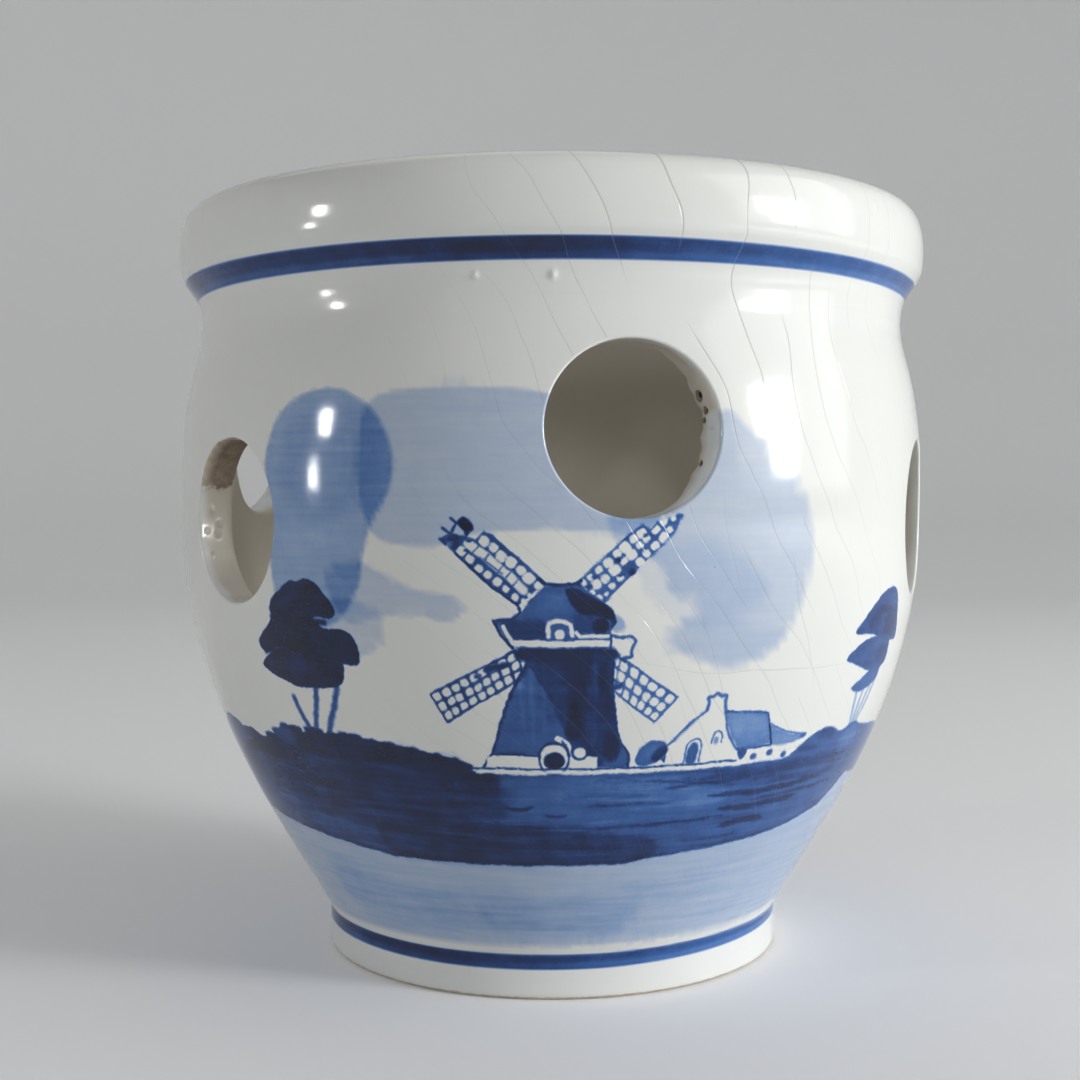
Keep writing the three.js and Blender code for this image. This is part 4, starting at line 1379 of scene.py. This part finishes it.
def make_rim(material):
    columns, rows = rim_columns(), rim_rows()
    patches = []
    quarter = TURN / 4
    closing = [
        [(NECK_INSIDE, TONGUE_TOP), (TONGUE_RADIUS, TONGUE_TOP)],
        [(TONGUE_RADIUS, TONGUE_TOP), (TONGUE_RADIUS, NECK_JOINT)],
        [(TONGUE_RADIUS, NECK_JOINT), (NECK_RADIUS, NECK_JOINT)],
    ]
    for number in range(4):
        first, last = -SECTOR_EDGE + number * quarter, -SECTOR_EDGE + (number + 1) * quarter
        part = columns[(columns > first) & (columns < last)]
        part = np.concatenate([[first], part[(part > first + 1e-3) & (part < last - 1e-3)], [last]])
        left, bottom = 0.005 + 0.5 * (number % 2), 0.005 + 0.5 * (number // 2)
        chart = strip_chart(left, bottom, 0.48 / quarter, 0.43 / RIM_LENGTH, first)
        u, s = np.meshgrid(part, rows, indexing="ij")
        height = np.interp(s, RIM_ALONG, RIM[:, 1])
        outer = s < 0.5 * RIM_LENGTH
        cobalt, streak = painting(u, np.where(outer, height, POT_HEIGHT))
        normals = normals_of(rim_surface, u, s, 0, RIM_LENGTH)
        # Down inside the mouth the rim takes the inside's glaze colour, which is partly painted shade
        inner = np.clip((s - 0.66 * RIM_LENGTH) / 8, 0, 1).ravel()
        patch = grid_patch(rim_surface(u, s), normals, u, s, chart, cobalt=cobalt.ravel(),
                           streak=streak.ravel(), inner=inner, place=(u.ravel(), height.ravel()))
        patches.append(patch)
        for k, section in enumerate(closing):
            low = bottom + 0.45 + 0.014 * k
            plain = strip_chart(left, low, 0.48 / quarter, 0.002, first)
            patches.append(turned_patch(section, part, 2, plain))
            if k == 2:
                patches[-1].points.reshape(len(part), 2, 3)[:, 1] = rim_surface(part, 0 * part)
    return join("rolled_rim_glazed", face_out(patches), material)


def make_foot(material):
    """The foot ring: glazed down its sides, bare where it stood in the kiln."""
    columns = np.linspace(-SECTOR_EDGE, TURN - SECTOR_EDGE, 361)
    turn = np.linspace(0, math.pi / 2, 7)
    rise = FOOT_EDGE - FOOT_EDGE * np.cos(turn)
    outer_edge = np.stack([FOOT_RADIUS - FOOT_EDGE + FOOT_EDGE * np.sin(turn), rise], axis=1)
    inner_edge = np.stack([BOSS_RADIUS + FOOT_EDGE - FOOT_EDGE * np.sin(turn), rise], axis=1)
    # Outer side, inner side, underside and the joint on top, and how bare of glaze each is
    sections = [
        (np.vstack([outer_edge, [(FOOT_RADIUS, FOOT_JOINT)]]), 0),
        (np.vstack([[(BOSS_RADIUS, FOOT_JOINT)], inner_edge[::-1]]), 0),
        (np.array([(BOSS_RADIUS + FOOT_EDGE, 0), (FOOT_RADIUS - FOOT_EDGE, 0)]), 1),
        (np.array([(FOOT_RADIUS, FOOT_JOINT), (BOSS_RADIUS, FOOT_JOINT)]), 0),
    ]
    small = 0.98 / TURN
    patches = []
    for k, (section, bare) in enumerate(sections):
        surface, length = lathed(section)
        rows = np.linspace(0, length, 8)
        if k == 0:
            close = np.arange(3.75, length - 0.05, 0.15)
            rows = np.concatenate([np.linspace(0, 3.6, 12), close, [length]])
        u, s = np.meshgrid(columns, rows, indexing="ij")
        points = surface(u, s)
        height = points[..., 2]
        low = sway(u, 0 * u + FOOT_JOINT) * (1 if k == 0 else 0)
        points = at(u, np.hypot(points[..., 0], points[..., 1]) - low, height)
        if k in (2, 3):
            end = -1 if k == 2 else 0
            points[:, end] = at(columns, FOOT_RADIUS - FOOT_EDGE * (k == 2) - sway(columns, FOOT_JOINT),
                                FOOT_JOINT * (k == 3))
        normals = normals_of(surface, u, s, 0, length, 0.05)
        chart = strip_chart(0.01, 0.01 + 0.2 * k, small, 0.18 / length)
        cobalt, streak = painting(u, height) if k == 0 else (0 * u, 0 * u)
        wear = np.clip(1.6 - height / 0.5, 0, 1) if k < 2 else np.full(u.shape, float(bare))
        patches.append(grid_patch(points, normals, u, s, chart, cobalt=cobalt.ravel(),
                                  streak=streak.ravel(), bare=wear.ravel()))
    return join("foot_ring_glazed", face_out(patches), material)


def make_floor(material):
    """The floor, with a shallow spiral that the potter's fingers left in it."""
    columns = np.linspace(-SECTOR_EDGE, TURN - SECTOR_EDGE, PLAIN_COLUMNS + 1)
    patches = []

    def disc_chart(centre):
        """Texture places for a disc, from above, round a centre that is as far up as to the left."""
        def chart(u, s):
            turn = u / BELLY_RADIUS
            radius = s * (0.24 / SEAT_RADIUS)
            return np.stack([centre + radius * np.sin(turn), 0.25 + radius * np.cos(turn)], axis=-1)
        return chart

    def spiral(height, depth):
        """A flat disc at a height, with throwing lines of a depth that fade out at its ends."""
        def surface(u, s):
            wave = np.sin(2 * math.pi * s / THROWING_PITCH - u / BELLY_RADIUS)
            fade = np.clip(s / 5, 0, 1) * np.clip((FILLET[0, 0] - s) / 5, 0, 1)
            return at(u, s, height + depth * (wave - 1) * fade)
        return surface

    for height, depth, reach, centre, sign in ((FLOOR_TOP, 0.12, SEAT_RADIUS, 0.25, 1),
                                               (FLOOR_UNDERSIDE, -0.05, BOSS_RADIUS, 0.75, -1)):
        surface = spiral(height, depth)
        u, s = np.meshgrid(columns, np.linspace(0, reach, 48), indexing="ij")
        normals = sign * -normals_of(surface, u, s, 0, reach, 0.2)
        normals[:, 0] = (0, 0, sign)
        chart = disc_chart(centre)
        patches.append(grid_patch(surface(u, s), normals, u, s, chart, inner=max(sign, 0)))
    sides = [
        [(SEAT_RADIUS, FOOT_JOINT), (SEAT_RADIUS, FLOOR_TOP)],
        [(BOSS_RADIUS, FOOT_JOINT), (SEAT_RADIUS, FOOT_JOINT)],
        [(BOSS_RADIUS, FLOOR_UNDERSIDE), (BOSS_RADIUS, FOOT_JOINT)],
    ]
    for k, section in enumerate(sides):
        chart = strip_chart(0.01, 0.55 + 0.1 * k, 0.98 / TURN, 0.02)
        patches.append(turned_patch(section, columns, 2, chart))
    return join("floor_glazed", face_out(patches), material)


# Materials

GLAZE_WHITE = (0.80, 0.81, 0.775)
GLAZE_GREY = (0.76, 0.775, 0.75)
# The inside's glaze: a little warmer than the outside, and darker as painted shade
INSIDE_GLAZE_AND_SHADE = (0.61, 0.57, 0.49)
SPECK_BROWN = (0.2, 0.16, 0.12)
# Near black in the pits: painted shade in their hollows
PIT_SHADE = (0.03, 0.025, 0.02)

# Bare clay under the foot and in the holes, from its darker to its lighter mottle
FOOT_CLAY = [(0.3, (0.50, 0.42, 0.33)), (0.7, (0.68, 0.60, 0.49))]
HOLE_CLAY = [(0.3, (0.20, 0.15, 0.11)), (0.7, (0.36, 0.29, 0.22))]

# The colour of a crack by how much cobalt it runs through: grey on white glaze, and lighter than the
# cobalt on blue, a painted highlight where the cracks catch the light
CRACK_RAMP_AND_HIGHLIGHT = [(0.0, (0.36, 0.35, 0.32)), (0.3, (0.16, 0.22, 0.36)), (0.7, (0.22, 0.32, 0.5))]

# Half a crack's width and its depth in millimetres
CRACK_HALF_WIDTH = 0.075
CRACK_DEPTH = 0.036

# How far blotches and grain change the cobalt, as a share of it
BLOTCH_CHANGE = 0.34
GRAIN_CHANGE = 0.16

# The colour of cobalt under the glaze by how much of it there is
COBALT_RAMP = [
    (0.0, GLAZE_WHITE),
    (0.1, (0.50, 0.575, 0.69)),
    (0.2, (0.30, 0.425, 0.64)),
    (0.35, (0.11, 0.23, 0.51)),
    (0.5, (0.032, 0.115, 0.36)),
    (0.7, (0.005, 0.036, 0.165)),
    (0.82, (0.002, 0.016, 0.085)),
    (1.0, (0.001, 0.006, 0.032)),
]


class Nodes:
    """Short calls for building one material's node tree."""

    def __init__(self, name):
        self.material = bpy.data.materials.new(name)
        self.material.use_nodes = True
        self.tree = self.material.node_tree
        self.shader = self.tree.nodes["Principled BSDF"]

    def node(self, kind, inputs=None, **settings):
        made = self.tree.nodes.new(kind)
        for key, value in settings.items():
            setattr(made, key, value)
        for key, value in (inputs or {}).items():
            if isinstance(value, bpy.types.NodeSocket):
                self.tree.links.new(value, made.inputs[key])
            else:
                made.inputs[key].default_value = value
        return made

    def math(self, operation, a, b=0.0, c=0.0, clamp=False):
        return self.node("ShaderNodeMath", {0: a, 1: b, 2: c}, operation=operation,
                         use_clamp=clamp).outputs[0]

    def attribute(self, name, output="Fac"):
        return self.node("ShaderNodeAttribute", attribute_name=name).outputs[output]

    def noise(self, scale, stretch=(1, 1, 1), detail=3.0, roughness=0.55):
        """Noise over the object, whose scale is features per millimetre."""
        place = self.node("ShaderNodeTexCoord").outputs["Object"]
        per_metre = tuple(s / MM for s in stretch)
        scaled = self.node("ShaderNodeMapping", {0: place, "Scale": per_metre}).outputs[0]
        return self.node("ShaderNodeTexNoise", {"Vector": scaled, "Scale": scale, "Detail": detail,
                                                "Roughness": roughness}).outputs[0]

    def span(self, value, low, high, first=0.0, last=1.0):
        """A value's place between low and high, from first to last, and no further."""
        inputs = {0: value, 1: low, 2: high, 3: first, 4: last}
        return self.node("ShaderNodeMapRange", inputs).outputs[0]

    def ramp(self, value, stops):
        made = self.node("ShaderNodeValToRGB", {0: value})
        elements = made.color_ramp.elements
        elements[0].position, elements[1].position = stops[0][0], stops[-1][0]
        for position, _ in stops[1:-1]:
            elements.new(position)
        for element, (_, colour) in zip(elements, stops):
            element.color = (*colour, 1)
        return made.outputs[0]

    def mix(self, share, a, b):
        made = self.node("ShaderNodeMix", data_type="RGBA")
        for socket, value in ((made.inputs[0], share), (made.inputs[6], a), (made.inputs[7], b)):
            if isinstance(value, bpy.types.NodeSocket):
                self.tree.links.new(value, socket)
            elif isinstance(value, tuple):
                socket.default_value = (*value, 1)
            else:
                socket.default_value = value
        return made.outputs[2]

    def into(self, socket, value):
        self.tree.links.new(value, self.shader.inputs[socket])


def crackle_family(nodes, place, lean, spacing, bend, phase, rarity):
    """Long cracks at uneven distances: the level lines of a bent coordinate. 1 is on a crack."""
    plain = nodes.node("ShaderNodeVectorMath", {0: place, 1: lean}, operation="DOT_PRODUCT")
    bending = nodes.node("ShaderNodeTexNoise", {"Vector": place, "Scale": 0.028, "Detail": 2.0,
                                                "Roughness": 0.42}).outputs[0]
    turns = nodes.math("MULTIPLY_ADD", plain.outputs["Value"], 1 / spacing, phase)
    turns = nodes.math("MULTIPLY_ADD", bending, bend, turns)
    away = nodes.math("ABSOLUTE", nodes.math("SUBTRACT", nodes.math("FRACT", turns), 0.5))
    thin = CRACK_HALF_WIDTH / spacing
    line = nodes.span(away, 0.4 * thin, 1.5 * thin, 1.0, 0.0)
    which = nodes.math("FLOOR", turns)
    along = nodes.node("ShaderNodeSeparateXYZ", {0: place}).outputs[1]
    along = nodes.math("MULTIPLY", along, 0.035)
    spot = nodes.node("ShaderNodeCombineXYZ", {0: which, 1: along}).outputs[0]
    gap = nodes.node("ShaderNodeTexNoise", {"Vector": spot, "Scale": 1.0, "Detail": 0.0}).outputs[0]
    return nodes.math("MULTIPLY", line, nodes.span(gap, rarity, rarity + 0.06))


def crackle_lines(nodes):
    """Thin long cracks, with fewer short ones across them, only where there is crackle."""
    place = nodes.attribute("crackle_place", "Vector")
    long = crackle_family(nodes, place, (1, 0, 0), 6.2, 2.4, 0.2, 0.39)
    second = crackle_family(nodes, place, (0.82, -0.3, 0), 10.0, 0.9, 0.6, 0.48)
    short = crackle_family(nodes, place, (0.35, 0.8, 0), 15.0, 0.6, 0.1, 0.5)
    crossed = nodes.node("ShaderNodeSeparateXYZ", {0: place}).outputs[2]
    across = nodes.math("MULTIPLY", nodes.math("MAXIMUM", second, short), crossed)
    return nodes.math("MULTIPLY", nodes.math("MAXIMUM", long, across), nodes.attribute("crackle"))


def specks(nodes):
    """Rare dark specks in the glaze, as a share of their colour."""
    place = nodes.node("ShaderNodeTexCoord").outputs["Object"]
    cells = nodes.node("ShaderNodeTexVoronoi", {"Vector": place, "Scale": 140.0})
    speck = nodes.span(cells.outputs["Distance"], 0.012, 0.024, 1.0, 0.0)
    rare = nodes.span(nodes.noise(0.05), 0.56, 0.6, 0.0, 0.7)
    return nodes.math("MULTIPLY", speck, rare)


def cobalt_depth(nodes, grain):
    """How much cobalt there is, made uneven by brush streaks, blotches and the clay's grain."""
    cobalt = nodes.attribute("cobalt")
    streaky = nodes.noise(0.13, (0.5, 0.5, 7.0), detail=4.0, roughness=0.6)
    streaky = nodes.math("SUBTRACT", streaky, 0.5)
    swing = nodes.math("ADD", nodes.attribute("streak"), 0.25)
    change = nodes.math("MULTIPLY_ADD", streaky, swing, 1.0)
    blotches = nodes.noise(0.32, detail=4.0)
    for noise, amount in ((blotches, BLOTCH_CHANGE), (grain, GRAIN_CHANGE)):
        change = nodes.math("MULTIPLY_ADD", nodes.math("SUBTRACT", noise, 0.5), amount, change)
    return nodes.math("MULTIPLY", cobalt, change, clamp=True)


def paint_glaze(nodes, white, grain):
    """The glaze's colour with the cobalt and the crackle in it, and the crackle's lines."""
    depth = cobalt_depth(nodes, grain)
    pigment = nodes.ramp(depth, COBALT_RAMP)
    colour = nodes.mix(nodes.span(depth, 0.0, 0.03), white, pigment)
    crack = crackle_lines(nodes)
    strength = nodes.math("MULTIPLY_ADD", depth, -0.35, 0.54)
    # Over the cobalt the cracks turn lighter: a painted highlight where they catch the light
    crack_tint_and_highlight = nodes.ramp(depth, CRACK_RAMP_AND_HIGHLIGHT)
    return nodes.mix(nodes.math("MULTIPLY", crack, strength), colour, crack_tint_and_highlight), crack


def glaze_material(name, painted):
    """Glossy glaze over white clay, with the cobalt under it, crackle, specks and bare places."""
    nodes = Nodes(name)
    blotch = nodes.noise(0.16, detail=4.0)
    grain = nodes.noise(1.6, detail=3.0, roughness=0.65)
    inner = nodes.attribute("inner")
    colour = nodes.mix(nodes.math("MULTIPLY", blotch, 0.5), GLAZE_WHITE, GLAZE_GREY)
    # Inside, the glaze turns warmer and darker: partly its own tint, partly painted shade
    colour = nodes.mix(inner, colour, INSIDE_GLAZE_AND_SHADE)
    if painted:
        colour, crack = paint_glaze(nodes, colour, grain)
    colour = nodes.mix(specks(nodes), colour, SPECK_BROWN)
    ragged = nodes.math("MULTIPLY_ADD", nodes.noise(0.9, detail=4.0), 0.9, -0.45)
    bare = nodes.span(nodes.math("ADD", nodes.attribute("bare"), ragged), 0.42, 0.58)
    mottle = nodes.noise(0.7, detail=5.0)
    clay = nodes.mix(inner, nodes.ramp(mottle, FOOT_CLAY), nodes.ramp(mottle, HOLE_CLAY))
    colour = nodes.mix(bare, colour, clay)
    # The pits are painted near black: painted shade in their hollows
    pit_shade = nodes.span(nodes.attribute("bare"), 1.4, 2.0)
    nodes.into("Base Color", nodes.mix(pit_shade, colour, PIT_SHADE))
    gloss = nodes.span(nodes.noise(0.05, detail=2.0), 0.0, 1.0, 0.07, 0.15)
    gloss = nodes.math("MULTIPLY_ADD", inner, 0.2, gloss)
    nodes.into("Roughness", nodes.math("MULTIPLY_ADD", bare, 0.5, gloss))
    # Bumps in millimetres: slow waves, fine ripples, rough bare clay and the cracks
    height = nodes.math("MULTIPLY", nodes.noise(0.11, detail=2.0), 0.05)
    height = nodes.math("MULTIPLY_ADD", nodes.noise(0.75, detail=1.0), 0.003, height)
    height = nodes.math("MULTIPLY_ADD", nodes.math("MULTIPLY", grain, bare), 0.12, height)
    if painted:
        height = nodes.math("MULTIPLY_ADD", crack, -CRACK_DEPTH, height)
    bump = nodes.node("ShaderNodeBump", {"Strength": 1.0, "Distance": MM, "Height": height})
    nodes.into("Normal", bump.outputs[0])
    return nodes.material


# Camera

CAMERA_DISTANCE = 271.9
CAMERA_HEIGHT = 78.6
CAMERA_AZIMUTH = -10.6
CAMERA_PITCH = 1.87
CAMERA_ROLL = -0.13
IMAGE_SIZE = 1080
FOCAL_PIXELS = 1527.9
AXIS_PIXEL = 551.05
SENSOR_WIDTH = 36.0


def make_camera():
    azimuth = math.radians(CAMERA_AZIMUTH)
    lens = bpy.data.cameras.new("camera")
    lens.sensor_width = SENSOR_WIDTH
    lens.lens = FOCAL_PIXELS / IMAGE_SIZE * SENSOR_WIDTH
    lens.clip_start = 0.01
    camera = bpy.data.objects.new("camera", lens)
    bpy.context.scene.collection.objects.link(camera)
    ground = Vector((math.sin(azimuth), -math.cos(azimuth), 0)) * CAMERA_DISTANCE
    camera.location = (ground + Vector((0, 0, CAMERA_HEIGHT))) * MM
    aside = math.atan((AXIS_PIXEL - IMAGE_SIZE / 2) / FOCAL_PIXELS)
    ahead = (-ground).normalized()
    ahead.rotate(Quaternion((0, 0, 1), aside))
    pitch = math.radians(CAMERA_PITCH)
    look = ahead * math.cos(pitch) - Vector((0, 0, math.sin(pitch)))
    camera.rotation_mode = "QUATERNION"
    roll = Quaternion((0, 0, 1), math.radians(CAMERA_ROLL))
    camera.rotation_quaternion = look.to_track_quat("-Z", "Y") @ roll
    bpy.context.scene.camera = camera


# Studio

# The floor's section, as radius and height in metres
STAGE_SECTION = [(0.0, 0.0), (0.9, 0.0), (1.3, 0.04), (1.6, 0.22), (1.75, 0.6), (1.8, 1.6)]
STAGE_STEPS = 96
PAPER = (0.8, 0.805, 0.81)
PAPER_GLOW = 0.1

# The lamps: place and size in metres, and power in watts
LAMPS = {
    "window": ((0.9, -0.596, 0.34), (0.27, 0.18), 5.0),
    "window_low": ((0.92, -0.565, 0.21), (0.16, 0.11), 1.8),
    "room": ((0.93, -0.45, 0.52), (0.9, 0.9), 4.0),
    "left_high": ((-1.04, -0.22, 0.29), (0.06, 0.1), 1.1),
    "left_low": ((-1.04, -0.16, 0.14), (0.05, 0.06), 0.35),
    "above": ((-0.1, 0.5, 0.9), (0.7, 0.5), 0.6),
}
WORLD_STRENGTH = 0.2


def make_stage():
    """A pale floor that sweeps up into a backdrop on every side."""
    points, faces = [], []
    for row, (radius, height) in enumerate(STAGE_SECTION):
        for k in range(STAGE_STEPS):
            turn = 2 * math.pi * k / STAGE_STEPS
            points.append((radius * math.cos(turn), radius * math.sin(turn), height))
            if row:
                a, b = (row * STAGE_STEPS + n % STAGE_STEPS for n in (k, k + 1))
                faces.append((a - STAGE_STEPS, b - STAGE_STEPS, b, a))
    mesh = bpy.data.meshes.new("floor")
    mesh.from_pydata(points, [], faces)
    mesh.polygons.foreach_set("use_smooth", [True] * len(faces))
    floor = bpy.data.objects.new("floor", mesh)
    bpy.context.scene.collection.objects.link(floor)
    nodes = Nodes("paper")
    nodes.shader.inputs["Base Color"].default_value = (*PAPER, 1)
    nodes.shader.inputs["Roughness"].default_value = 0.85
    nodes.shader.inputs["Emission Color"].default_value = (1, 1, 1, 1)
    rays = nodes.node("ShaderNodeLightPath").outputs
    seen = nodes.math("MAXIMUM", rays["Is Camera Ray"], rays["Is Glossy Ray"])
    seen = nodes.math("MAXIMUM", seen, rays["Is Transmission Ray"])
    nodes.into("Emission Strength", nodes.math("MULTIPLY", seen, PAPER_GLOW))
    mesh.materials.append(nodes.material)


def make_lights():
    """The lamps, all turned to the middle of the pot, and an even white world."""
    target = Vector((0, 0, POT_HEIGHT * MM / 2))
    for name, (place, size, power) in LAMPS.items():
        light = bpy.data.lights.new(name, "AREA")
        light.shape = "RECTANGLE"
        light.size, light.size_y = size
        light.energy = power
        lamp = bpy.data.objects.new(name, light)
        lamp.location = place
        lamp.rotation_euler = (target - Vector(place)).to_track_quat("-Z", "Y").to_euler()
        bpy.context.scene.collection.objects.link(lamp)
    world = bpy.data.worlds.new("studio")
    world.use_nodes = True
    background = world.node_tree.nodes["Background"].inputs
    background["Color"].default_value = (1, 1, 1, 1)
    background["Strength"].default_value = WORLD_STRENGTH
    bpy.context.scene.world = world


make_camera()
make_stage()
make_lights()
painted_glaze = glaze_material("painted_glaze", True)
plain_glaze = glaze_material("plain_glaze", False)
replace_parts(make_wall(painted_glaze), "belly_wall")
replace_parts(make_rim(painted_glaze), "rolled_rim")
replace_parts(make_foot(painted_glaze), "foot_ring")
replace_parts(make_floor(plain_glaze), "floor_disc")
bpy.context.scene.view_settings.view_transform = "Standard"
